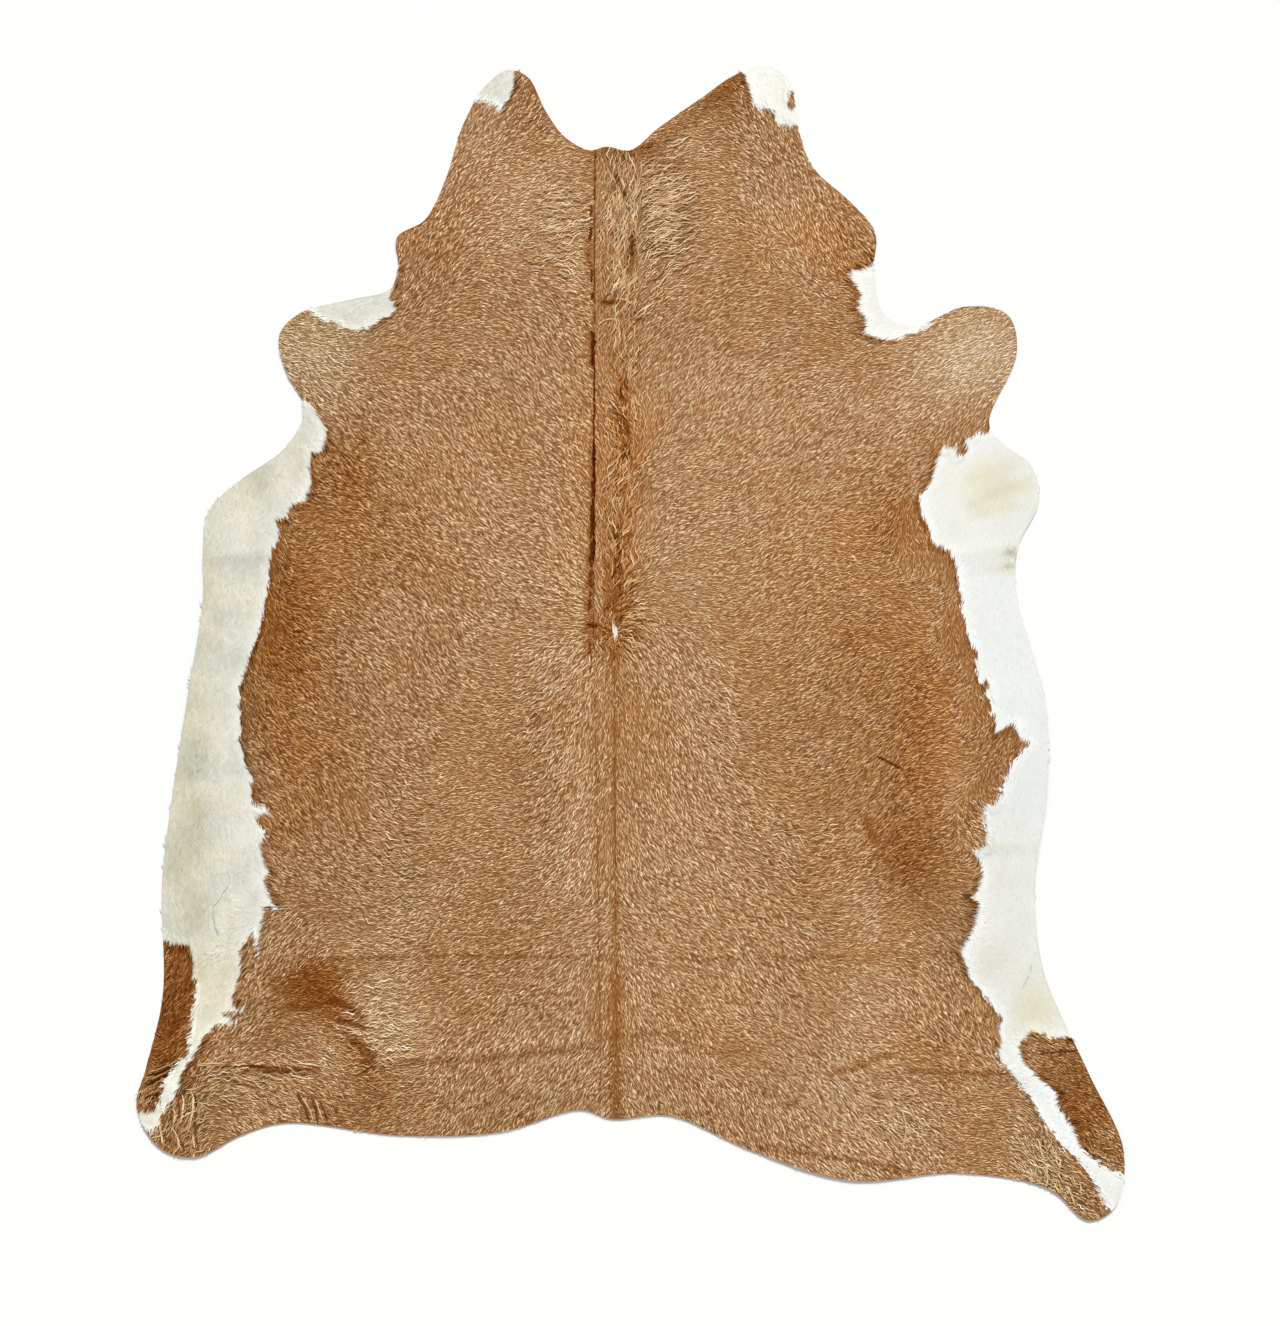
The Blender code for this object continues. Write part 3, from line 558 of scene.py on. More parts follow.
# The white coat, as what its right half has and what its left half adds
WHITE_SPACING = 1.2  # how much further apart the white locks stand than the tan ones
WHITE_RIM = 2.5 * MM  # no white lock grows nearer to the cut edge
WHITE_BLOTCH, WHITE_BLOTCH_STEP = (0.03, 0.05), 4 * CM
WHITE_STREAK = (0.012, 0.022)
CREAM_BLOTCH, CREAM_BLOTCH_STEP = (0.04, 0.1), 5 * CM

# The edge between tan and white
RAGGED_STREAK, RAGGED_STREAK_STEP, RAGGED_STRETCH = 3.8 * MM, 4.5 * MM, 4
RAGGED_WAVE, RAGGED_WAVE_STEP = 2.0 * MM, 10 * MM
RAGGED_RIGHT, RAGGED_LEFT, RAGGED_LOW_LEFT = 1.3, 0.7, 0.9
LOW_LEFT_TOP, LOW_LEFT_FADE = 66, 12 * CM  # where the left edge grows more ragged
# Along its edge with the white the tan is painted darker: its own darker edge hair and painted shade
# under the hair that overlaps there
EDGE_DARK_WIDTH, EDGE_DARK_TONE, EDGE_DARK_WARMTH = 8 * MM, -0.2, 0.1
WHITE_EDGE_WIDTH, WHITE_EDGE_TONE = 24 * MM, 0.12  # the white coat is clearest beside the tan
EDGE_HAIR_SPACING = 3 * MM
EDGE_HAIR_SHAKE = 0.5  # in spacings
EDGE_HAIR_REACH = 5 * MM  # how far they grow from the edge on their own side
EDGE_HAIR_BACK = EDGE_HAIR_REACH / 3  # and on the other
EDGE_HAIR_LENGTH = 21 * MM
EDGE_HAIR_WIDTH = 1.7 * MM
EDGE_HAIR_CLEARANCE = 1 * MM
EDGE_LOOK_AHEAD = 3 * MM
EDGE_TUFT_SIZE, EDGE_TUFT_PULL = 9 * MM, 0.6  # the fine hairs draw together in points this far apart
EDGE_CROSSING = 0.3  # how straight the hair must cross the edge for fine hairs to lie over it
# The colour of the fine hairs, first in the tan, with the edge's painted shade, and then in the white
EdgeColour = namedtuple("EdgeColour", "shades tone warmth tone_scatter warmth_scatter")
EDGE_COLOURS = rows(
    EdgeColour,
    (TAN_SHADES, MIDDLE_TONE + EDGE_DARK_TONE, TAN_WARMTH + EDGE_DARK_WARMTH, 0.08, 0.1),
    (WHITE_SHADES, WHITE_TONE + WHITE_EDGE_TONE, WHITE_WARMTH, 0.05, 0.1),
)

# Long wavy strands and those on laid lines
STRAND_SPREAD = 0.6  # of a curly area's reach
STRAND_TONE_SCATTER = 0.16
STRAND_WARMTH, PALE_STRAND_WARMTH = -0.06, -0.4  # the second is what pale strands add
STRAND_CLEARANCE, STRAND_WHITE_CLEARANCE = 3 * MM, 2 * MM
STRAND_KIND_STEP, STRAND_KIND_SCATTER = 18 * MM, 0.06
LAID_STEP = 0.4  # between two strands on a laid line, in their lengths
LAID_GIRTH, LAID_GIRTHS = 1.2, (0.6, 1.2)  # the widest strands are as wide as their line
LAID_SIDEWAYS = 0.3  # how far they lie beside the line, in its widths
LAID_TONE_SCATTER, LAID_WARMTH_SCATTER = 0.04, 0.05

# The fine streaks that the comb leaves in the coat
STREAK_WIDTH = 1.9 * MM
STREAK_REACH = 5 * MM  # from the middle of a streak to its end
STREAK_STEPS = 7
STREAK_TONE = 0.098
STREAK_GAIN, STREAK_CUT, STREAK_LEAST = 2.6, 0.5, 0.35  # streaks show less on a dark coat
STREAK_PART, CHANCE_PART = 0.5, 0.95  # what the comb and plain chance put into the streaks
EVENED_STEP = 7 * MM
SKIN_STREAK_WIDTH, SKIN_STREAK_REACH = 1.2 * MM, 3 * MM
SKIN_STREAK_STEPS, SKIN_STREAK_CONTRAST = 5, 1.05

# A lock of hair, as a closed wedge that is one long, one wide and one high: its root, its two
# widest points and its tip. The ridge from root to tip gives it a light and a shaded side.
LockShape = namedtuple("LockShape", "widest lean")
LOCK_SHAPES = rows(LockShape, (0.44, 0.0), (0.38, 0.5), (0.38, -0.5), (0.5, 1.1), (0.5, -1.1))
LOCK_FOOT, LOCK_SKEW = -0.15, 0.06
ROOT_SHIFT, ROOT_SPREAD = 0.2, (0.5, 2)  # how far locks start behind their place, in lengths
SHORTEST_SHARE = 0.15  # what is left at least of a lock that is cut back at the rim
# A strand is a wavy lock: how many waves it has, how far its middle line swings to the side in
# widths, and where in a wave it starts
StrandShape = namedtuple("StrandShape", "waves swing turn")
STRAND_SHAPES = rows(
    StrandShape,
    (1.5, 0.8, 0.0), (2.0, 0.6, 0.4), (2.5, 0.5, 0.1), (1.2, -1.1, 0.2), (0.7, 1.8, 0.1),
    (0.7, -1.8, 0.1), (0.5, 0.25, 0.0),
)
CURLY_KINDS = 6  # the wavy ones among them; the last is for laid lines
STRAND_STEPS = 10
STRAND_ARCH, STRAND_TIP, STRAND_RIDGE = 0.8, 0.2, 0.35  # its arch, its rise to the tip, its ridge
STRAND_TIP_HEIGHT = 0.3
STRAND_FOOT_PART, STRAND_TIP_PART = 0.12, 0.88  # the parts of a half wave that its width follows

# Colours from the darkest hair to the palest, as screens write them
SANDY_HAIR = ((66, 38, 8), (132, 97, 53), (186, 151, 106), (226, 202, 160), (250, 238, 212))
RUDDY_HAIR = ((64, 18, 0), (114, 56, 4), (168, 104, 43), (214, 155, 89), (246, 208, 154))
COOL_HAIR = ((110, 130, 150), (160, 182, 200), (218, 221, 218), (244, 247, 249), (253, 254, 252))
CREAM_HAIR = ((136, 112, 84), (192, 184, 146), (225, 219, 194), (244, 242, 222), (252, 251, 238))
SANDY_SKIN, RUDDY_SKIN = ((114, 76, 33), (182, 140, 96)), ((98, 48, 4), (160, 100, 48))
# Of the next two, the parting's colour is painted shade in the groove of the neck's parting, over the
# darker roots that show there
PALE_SKIN, PARTED_SKIN = ((196, 194, 180), (242, 243, 236)), (96, 40, 4)

# The skin's finish. Under the coat it takes up the coat's own tones.
CLOUDS_A_METRE, GRAINS_A_METRE = 9.0, 420.0
CLOUD_SHARE, GRAIN_SHARE, FLECK_FROM = 0.7, 0.5, 0.1
GRAIN_ROUGHNESS, SKIN_SHINE = 0.1, 0.25
BORDER_SHARPNESS, TONE_GAIN = 4, 2
PALE_FROM, PALE_GAIN, PALE_GRAIN = 0.4, 2.6, 0.2
PARTED_WIDTH, PARTED_EDGE = 1.2 * MM, 1.2
BARE_EDGE, BARE_SHARPNESS = 1.35, 4

# The stage
FLOOR_HALF = 30.0
KEY_FROM, KEY_SOFTNESS = (0.4, 3.4, 2.7), math.radians(12)
LENS, SENSOR = 70.0, 36.0
CAMERA_X, CAMERA_Y = 1.76 * CM, -3.7 * CM

# How one piece of coat looks: its kind of hair, its width and height, how far these vary, how far a
# hair rolls to the side, what its tip adds in tone and the painted light and shade on its two sides, its
# marks, material and slot
HairLook = namedtuple(
    "HairLook", "kind width rise spread roll tip_shade side_shade marks material slot"
)


def only(keep, *held):
    """The kept part of each of the held arrays."""
    return (values[keep] for values in held)


def place(spots):
    """Places of the cutting table, one or many, in the rug's own frame in metres."""
    return (np.array(spots, float) - TABLE_MIDDLE) * CM


def smooth(share):
    """0 below 0, 1 above 1, and an even rise between them."""
    share = np.clip(share, 0.0, 1.0)
    return share * share * (3 - 2 * share)


def bump(distance):
    """1 in the middle and exactly 0 from a distance of 1, smooth at both."""
    return np.clip(1 - distance**2, 0.0, 1.0) ** 2


def size_of(vectors):
    return np.hypot(vectors[:, 0], vectors[:, 1])


def heading_of(vectors):
    return np.arctan2(vectors[:, 1], vectors[:, 0])


def pointing(heading):
    """A vector of length 1 along each heading."""
    return np.stack([np.cos(heading), np.sin(heading)], axis=1)


def aim(places, heading, length):
    return places + np.reshape(length, (-1, 1)) * pointing(heading)


def inside(places, loop):
    """Which places lie inside a closed loop, by the sides that a ray to the right crosses."""
    crossings = np.zeros(len(places), int)
    for a, b in zip(loop, np.roll(loop, -1, axis=0)):
        spans = (a[1] > places[:, 1]) != (b[1] > places[:, 1])
        if spans.any():
            at = a[0] + (places[:, 1] - a[1]) * (b[0] - a[0]) / (b[1] - a[1])
            crossings += spans & (at > places[:, 0])
    return crossings % 2 == 1


def depth_in(places, loop):
    """How far each place lies inside a loop, negative outside it, down to the reach and no further."""
    depth = np.full(len(places), -WHITE_REACH)
    low, high = loop.min(axis=0) - WHITE_REACH, loop.max(axis=0) + WHITE_REACH
    near = np.flatnonzero(((places > low) & (places < high)).all(axis=1))
    spots = places[near]
    nearest = np.full(len(spots), np.inf)
    for a, b in zip(loop, np.roll(loop, -1, axis=0)):
        side = b - a
        share = np.clip((spots - a) @ side / (side @ side), 0.0, 1.0)
        nearest = np.minimum(nearest, size_of(spots - a - share[:, None] * side))
    depth[near] = np.maximum(-WHITE_REACH, np.where(inside(spots, loop), nearest, -nearest))
    return depth


def blended(layer, cell, after, share):
    """A layer's values at places that lie some share of the way from a cell's spot to those after it."""
    (x0, y0), (x1, y1) = cell.T, after.T
    near = layer[x0, y0] * (1 - share[:, 0]) + layer[x1, y0] * share[:, 0]
    far = layer[x0, y1] * (1 - share[:, 0]) + layer[x1, y1] * share[:, 0]
    return near * (1 - share[:, 1]) + far * share[:, 1]


def lattice_noise(places, step, seed):
    """Soft noise from -1 to 1 that changes over about one step."""
    values = np.random.default_rng(seed).uniform(-1, 1, (LATTICE, LATTICE))
    spot = places / step
    cell = np.floor(spot).astype(int)
    return blended(values, cell % LATTICE, (cell + 1) % LATTICE, smooth(spot - cell))


def combed_noise(places, heading, seed):
    """Noise drawn out along the hair, with a mean of 0 and a spread of 1: the coat's fine streaks."""
    total = np.zeros(len(places))
    for share in np.linspace(-1, 1, STREAK_STEPS):
        total += lattice_noise(aim(places, heading, share * STREAK_REACH), STREAK_WIDTH, seed)
    return (total - total.mean()) / total.std()


def evened(values, places, step):
    """The values less their mean in each cell of a grid, so that neighbours differ but areas don't."""
    cell = np.floor(places / step).astype(int)
    cell -= cell.min(axis=0)
    number = cell[:, 0] * (cell[:, 1].max() + 1) + cell[:, 1]
    means = np.bincount(number, values) / np.maximum(np.bincount(number), 1)
    return values - means[number]


def smooth_loop(marks, step):
    """A closed Catmull-Rom curve through the marks, with even steps between two."""
    points = []
    count = len(marks)
    for i in range(count):
        a, b, c, d = (marks[(i + k) % count] for k in (-1, 0, 1, 2))
        steps = max(1, round(math.dist(b, c) / step))
        for k in range(steps):
            t = k / steps
            points.append(
                0.5 * (2 * b + (c - a) * t + (2 * a - 5 * b + 4 * c - d) * t**2
                       + (3 * b - a - 3 * c + d) * t**3)
            )
    return np.array(points)


def cell_numbers(counts):
    return np.stack(np.meshgrid(*(np.arange(count) for count in counts), indexing="ij"), axis=-1)


def shaken_grid(form, step, shake, rng):
    """A triangular grid over the hide's box, with each place moved by up to the shake."""
    row_step = step * math.sqrt(3) / 2
    columns, lines = ((form.high - form.low) / (step, row_step)).astype(int) + 1
    line, column = np.meshgrid(np.arange(lines), np.arange(columns), indexing="ij")
    x, y = form.low[0] + (column + line % 2 / 2) * step, form.low[1] + line * row_step
    grid = np.stack([x, y], axis=-1).reshape(-1, 2)
    return grid + rng.uniform(-shake, shake, grid.shape)


class HideForm:
    """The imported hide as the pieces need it: its cut edge, and its lift off the floor everywhere."""

    def __init__(self, node):
        self.rim = smooth_loop(self.cut_edge(node), RIM_STEP)
        self.low, self.high = self.rim.min(axis=0) - FIELD_MARGIN, self.rim.max(axis=0) + FIELD_MARGIN
        cells = cell_numbers(((self.high - self.low) / FIELD_STEP).astype(int) + 2)
        self.shape = cells.shape[:2]
        spots = cells.reshape(-1, 2) * FIELD_STEP + self.low
        self.rim_layer = self.rim_distance(spots)
        self.lift_layer = self.floor_lift(node, spots)

    def cut_edge(self, node):
        """The hide's outline as places in order, from the foot of its wall."""
        shape = bmesh.new()
        shape.from_mesh(node.data)
        bmesh.ops.remove_doubles(shape, verts=shape.verts[:], dist=SAME_POINT)
        shape.normal_update()
        nexts = {}
        for edge in shape.edges:
            leans = [face.normal.z for face in edge.link_faces]
            if any(abs(lean) < WALL_LEAN for lean in leans) and any(lean < FLOOR_LEAN for lean in leans):
                a, b = edge.verts
                nexts.setdefault(a, []).append(b)
                nexts.setdefault(b, []).append(a)
        start = next(iter(nexts))
        chain, last = [start], None
        while True:
            here = chain[-1]
            onward = next(vert for vert in nexts[here] if vert is not last)
            if onward is start:
                break
            chain.append(onward)
            last = here
        edge = np.array([vert.co.xy for vert in chain])
        shape.free()
        turning = np.cross(edge, np.roll(edge, -1, axis=0)).sum()
        return edge if turning > 0 else edge[::-1]

    def rim_distance(self, spots):
        """How far each spot lies in from the cut edge, negative outside it."""
        marks = smooth_loop(self.rim, RIM_MARK_STEP)
        tree = KDTree(len(marks))
        for i, mark in enumerate(marks):
            tree.insert((*mark, 0.0), i)
        tree.balance()
        away = np.array([tree.find((x, y, 0.0))[2] for x, y in spots])
        signed = np.where(inside(spots, self.rim), away, -away)
        return signed.reshape(self.shape)

    def floor_lift(self, node, spots):
        """The height of the hide's underside over the floor, evened out between its facets."""
        mesh = node.data
        corners = [vert.co.copy() for vert in mesh.vertices]
        tree = BVHTree.FromPolygons(corners, [tuple(face.vertices) for face in mesh.polygons])
        lift, known = np.zeros((2, len(spots)))
        for i in np.flatnonzero(self.rim_layer.ravel() > 0):
            hit = tree.ray_cast(Vector((*spots[i], -LOOK_FROM)), Vector((0, 0, 1)))[0]
            if hit:
                lift[i] = hit.z
                known[i] = 1.0
        lift, known = lift.reshape(self.shape), known.reshape(self.shape)
        for _ in range(FIELD_BLUR):
            lift, known = self.blur(lift), self.blur(known)
        return lift / np.maximum(known, LEAST_KNOWN)

    @staticmethod
    def blur(layer):
        for axis in (0, 1):
            layer = (np.roll(layer, 1, axis) + 2 * layer + np.roll(layer, -1, axis)) / 4
        return layer

    def read(self, layer, places):
        """A layer's values at any places, evenly between its spots."""
        spot = (places - self.low) / FIELD_STEP
        cell = np.clip(np.floor(spot).astype(int), 0, np.array(self.shape) - 2)
        return blended(layer, cell, cell + 1, np.clip(spot - cell, 0.0, 1.0))

    def from_rim(self, places):
        return self.read(self.rim_layer, places)

    def skin_floor(self, places):
        """The height of the skin's underside, with the small wrinkles."""
        lift = self.read(self.lift_layer, places)
        for wrinkle in WRINKLES:
            away = from_line(places, wrinkle)
            lift += wrinkle.height * MM * bump(away / (wrinkle.half_width * CM))
        return lift


@lru_cache(maxsize=1)
def hide_form():
    return HideForm(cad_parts[HIDE])


def from_line(places, line):
    """How far each place lies from a bowed line, in metres."""
    start, end = place(line.start), place(line.end)
    length = math.dist(start, end)
    along = (end - start) / length
    across = np.array([-along[1], along[0]])
    share = (places - start) @ along / length
    bow = line.bow * CM * 4 * share * (1 - share)
    past_end = np.maximum(0.0, np.abs(share - 0.5) - 0.5) * length
    return np.hypot((places - start) @ across - bow, past_end)


def white_depth(places):
    """How far each place lies inside the white, negative in the tan."""
    depth = np.full(len(places), -WHITE_REACH)
    for area in WHITE_AREAS.values():
        depth = np.maximum(depth, depth_in(places, place(area)))
    for area in TAN_AREAS.values():
        depth = np.minimum(depth, -depth_in(places, place(area)))
    return depth


def parting_x(along):
    """The x of the line that parts the left coat from the right, in centimetres, at each y."""
    share = (PARTING_TOP[1] - along) / (PARTING_TOP[1] - PARTING_END[1])
    neck = PARTING_TOP[0] + share * (PARTING_END[0] - PARTING_TOP[0])
    return np.where(along > PARTING_END[1], neck, BACK_LINE)


def comb_heading(places):
    """The heading of the hair at each place, in radians, from the guides on its own side."""
    spots = places / CM + TABLE_MIDDLE
    past_parting = spots[:, 0] - parting_x(spots[:, 1])
    on_right = spots[:, 0] > parting_x(spots[:, 1])
    flow = np.zeros((len(spots), 2))
    for guide in COMBS:
        for lean, side, sign in ((guide.left, ~on_right, -1), (guide.right, on_right, 1)):
            if lean is None:
                continue
            x, y = sign * guide.across, guide.along
            away = (spots[side, 0] - x) ** 2 + (spots[side, 1] - y) ** 2
            weight = np.exp(-away / (2 * COMB_REACH**2)) + FAR_SHARE / (1 + away)
            angle = math.radians(lean)
            flow[side] += weight[:, None] * (sign * math.cos(angle), math.sin(angle))
    flow /= size_of(flow)[:, None]
    for whorl in WHORLS:
        out = spots - (whorl.x, whorl.y)
        away = size_of(out)
        weight = whorl.strength * np.exp(-((away / whorl.reach) ** 2))
        out /= np.maximum(away, WHORL_CORE)[:, None]
        flow = flow * (1 - weight[:, None]) + out * weight[:, None]
    mane = smooth(MANE_WIDTH - past_parting + MANE_EDGE)
    mane = mane * smooth((spots[:, 1] - MANE_FOOT) / MANE_RISE) * on_right
    return heading_of(flow * (1 - mane[:, None]) + MANE_FLOW * mane[:, None])


def shade_sums(places, shades):
    """(tone, warmth): the sums of all soft areas at each place."""
    tone, warmth = np.zeros((2, len(places)))
    for shade in shades:
        away = places - place((shade.x, shade.y))
        turn = math.radians(shade.turn)
        across = away[:, 0] * math.cos(turn) + away[:, 1] * math.sin(turn)
        along = away[:, 1] * math.cos(turn) - away[:, 0] * math.sin(turn)
        share = np.exp(-((across / (shade.reach_x * CM)) ** 2 + (along / (shade.reach_y * CM)) ** 2))
        tone += shade.tone * share
        warmth += shade.warmth * share
    return tone, warmth


def mark_sums(places, marks):
    """(tone, warmth): the sums of all line marks at each place."""
    tone, warmth = np.zeros((2, len(places)))
    for i, mark in enumerate(marks):
        away = from_line(places, mark) / (2 * mark.half_width * CM)
        near = np.flatnonzero(away < 1)
        comes = smooth(0.5 + BREAK_GAIN * lattice_noise(places[near], BREAK_STEP, BREAK_SEED + i))
        share = bump(away[near]) * (1 - mark.break_share * comes)
        tone[near] += mark.tone * share
        warmth[near] += mark.warmth * share
    return tone, warmth


def curl_share(places):
    """How curly the coat is at each place, from 0 to 1."""
    curl = np.zeros(len(places))
    for area in CURLY_AREAS:
        away = (places - place((area.x, area.y))) / CM / (area.reach_x, area.reach_y)
        curl = np.maximum(curl, np.exp(-(away**2).sum(axis=1)))
    return curl


def bare_share(places):
    """How far each place lies in the bare sliver of the whorl: below 1 is inside it."""
    share = np.full(len(places), np.inf)
    for spot in BARE_SPOTS:
        away = (places - place((spot.x, spot.y))) / CM * 2 / (spot.width, spot.length)
        share = np.minimum(share, size_of(away))
    return share


def tuft_points(places, step, seed):
    """The point in which the tips near each place draw together. Each cell of a grid has one."""
    form = hide_form()
    low = form.low - TUFT_MARGIN * step
    counts = ((form.high - form.low) / step).astype(int) + 2 * TUFT_MARGIN + 1
    cells = cell_numbers(counts)
    shaken = np.random.default_rng(seed).uniform(*TUFT_SHAKE, cells.shape)
    points = low + (cells + shaken) * step
    cell = np.floor((places - low) / step).astype(int)
    best = np.full(len(places), np.inf)
    found = np.zeros_like(cell)
    for dx in (-1, 0, 1):
        for dy in (-1, 0, 1):
            near = np.clip(cell + (dx, dy), 0, counts - 1)
            distance = size_of(places - points[near[:, 0], near[:, 1]])
            closer = distance < best
            best[closer] = distance[closer]
            found[closer] = near[closer]
    return points[found[:, 0], found[:, 1]]


def within_rim(places, heading, length, overhang):
    """The lengths cut back where a tip would reach out past the cut edge."""
    form = hide_form()
    here = form.from_rim(places)
    there = form.from_rim(aim(places, heading, length))
    allowed = (here + overhang) / np.maximum(here - there, SAME_POINT)
    return np.where(there < -overhang, length * np.clip(allowed, SHORTEST_SHARE, 1.0), length)


def rooted(sizes, places, heading, length, tone, warmth, shape, lift):
    """Hairs as they grow, one value each: every one lies at the slope of the skin under it."""
    skin = hide_form().skin_floor(places)
    ahead = hide_form().skin_floor(aim(places, heading, length))
    return {
        "place": places, "height": skin + lift + sizes.skin_thickness, "heading": heading,
        "pitch": np.arctan2(ahead - skin, length), "length": length, "tone": tone, "warmth": warmth,
        "shape": shape,
    }


def ragged(places, heading, seed):
    """A small uneven shift of the line between tan and white, in streaks along the hair."""
    along = places[:, 0] * np.cos(heading) + places[:, 1] * np.sin(heading)
    across = places[:, 1] * np.cos(heading) - places[:, 0] * np.sin(heading)
    stretched = np.stack([along / RAGGED_STRETCH, across], axis=1)
    shift = RAGGED_WAVE * lattice_noise(places, RAGGED_WAVE_STEP, seed + 1)
    shift = shift + RAGGED_STREAK * lattice_noise(stretched, RAGGED_STREAK_STEP, seed)
    low_left = smooth((place((0, LOW_LEFT_TOP))[1] - places[:, 1]) / LOW_LEFT_FADE)
    return shift * np.where(places[:, 0] > 0, RAGGED_RIGHT, RAGGED_LEFT + RAGGED_LOW_LEFT * low_left)


def coat_roots(step, seed):
    """(places, heading, depth): where locks grow, how they are combed, and how far in the white."""
    form = hide_form()
    grid = shaken_grid(form, step, step * ROOT_SHAKE, np.random.default_rng(seed))
    grid = grid[form.from_rim(grid) > ROOT_CLEARANCE]
    grid = grid[bare_share(grid) > 1]
    heading = comb_heading(grid)
    return grid, heading, white_depth(grid) + ragged(grid, heading, seed + 3)


def strayed(heading, places, drift, habit, seed, rng):
    """The headings with what neighbours stray together and what each hair strays by itself."""
    heading = heading + np.radians(drift.calm) * lattice_noise(places, drift.step, seed)
    return heading + np.radians(habit.scatter) * rng.normal(0, 1, len(places))


def tan_locks(sizes, seed):
    """Everything that the tan coat's locks need, one value a lock."""
    rng = np.random.default_rng(seed + 1)
    places, heading, depth = coat_roots(sizes.lock_spacing, seed)
    places, heading, depth = only(depth < 0, places, heading, depth)
    count = len(places)

    curl = curl_share(places)
    unrest = UNREST + UNREST * lattice_noise(places, UNREST_STEP, seed + 4) + CURL_UNREST * curl
    for i, drift in enumerate(TAN_DRIFTS):
        turn = np.radians(drift.calm + drift.unruly * unrest)
        heading = heading + turn * lattice_noise(places, drift.step, seed + 5 + i)
    streaks = combed_noise(places, heading, seed + 11)
    length = sizes.lock_length * rng.uniform(*TAN_HABIT.lengths, count) * (1 + CURL_LENGTH * curl)
    pull = TUFT_PULL * (tuft_points(places, sizes.tuft_size, seed + 7) - places)
    heading = heading_of(pointing(heading) * length[:, None] + pull)
    heading += np.radians(TAN_HABIT.scatter + UNRULY_SCATTER * unrest) * rng.normal(0, 1, count)
    marked = np.clip(np.abs(mark_sums(places, TAN_MARKS)[0]) / MARK_FULL_TONE, 0, 1)
    length *= 1 - MARK_SHORTENS * marked
    places = aim(places, heading, -ROOT_SHIFT * length * rng.uniform(*ROOT_SPREAD, count))
    length = within_rim(places, heading, length, TAN_HABIT.overhang)

    tone, warmth = shade_sums(places, TAN_SHADES)
    # Painted shade, with the darker edge hair: the tan darkens towards the white
    edge = smooth(1 + depth / EDGE_DARK_WIDTH)
    (fine, fine_step), (broad, broad_step) = TONE_BLOTCHES
    tone += MIDDLE_TONE + EDGE_DARK_TONE * edge + fine * lattice_noise(places, fine_step, seed + 8)
    tone += broad * lattice_noise(places, broad_step, seed + 9)
    streaks = STREAK_PART * streaks + CHANCE_PART * rng.normal(0, 1, count)
    streaks = evened(streaks, places, EVENED_STEP)
    seen = np.clip(STREAK_GAIN * tone - STREAK_CUT, STREAK_LEAST, 1)
    tone += STREAK_TONE * (1 + CURL_STREAKS * curl) * seen * streaks
    blotch = WARMTH_BLOTCH * lattice_noise(places, WARMTH_BLOTCH_STEP, seed + 10)
    warmth += TAN_WARMTH + EDGE_DARK_WARMTH * edge + blotch
    warmth += WARMTH_SCATTER * rng.normal(0, 1, count)
    shape = rng.integers(0, len(LOCK_SHAPES), count)
    return rooted(sizes, places, heading, length, tone, warmth, shape, TAN_HABIT.lift * streaks)


def white_shade(places, depth):
    """(tone, warmth, how far on the left half) of the white coat at each place."""
    tone, warmth = shade_sums(places, WHITE_SHADES)
    edge = smooth(1 - depth / WHITE_EDGE_WIDTH)
    on_left = smooth(0.5 - places[:, 0] / LEFT_WHITE_FADE)
    tone += WHITE_TONE + WHITE_EDGE_TONE * edge + LEFT_WHITE_TONE * on_left
    warmth += WHITE_WARMTH + LEFT_WHITE_WARMTH * on_left - LEFT_WHITE_WARMTH * edge * on_left
    return tone, warmth, on_left


def white_locks(sizes, seed):
    """Everything that the white coat's locks need, one value a lock."""
    rng = np.random.default_rng(seed + 21)
    places, heading, depth = coat_roots(WHITE_SPACING * sizes.lock_spacing, seed)
    keep = (depth >= 0) & (hide_form().from_rim(places) > WHITE_RIM)
    places, heading, depth = only(keep, places, heading, depth)
    count = len(places)
    heading = strayed(heading, places, WHITE_DRIFT, WHITE_HABIT, seed + 22, rng)
    length = sizes.white_length * rng.uniform(*WHITE_HABIT.lengths, count)
    length = within_rim(places, heading, length, WHITE_HABIT.overhang)
    tone, warmth, on_left = white_shade(places, depth)

    def share(right, left):
        return right + left * on_left

    tone += share(*WHITE_BLOTCH) * lattice_noise(places, WHITE_BLOTCH_STEP, seed + 23)
    tone += share(*WHITE_STREAK) * combed_noise(places, heading, seed + 25)
    warmth += share(*CREAM_BLOTCH) * lattice_noise(places, CREAM_BLOTCH_STEP, seed + 24)
    shape = rng.integers(0, len(LOCK_SHAPES), count)
    return rooted(sizes, places, heading, length, tone, warmth, shape, WHITE_HABIT.lift)


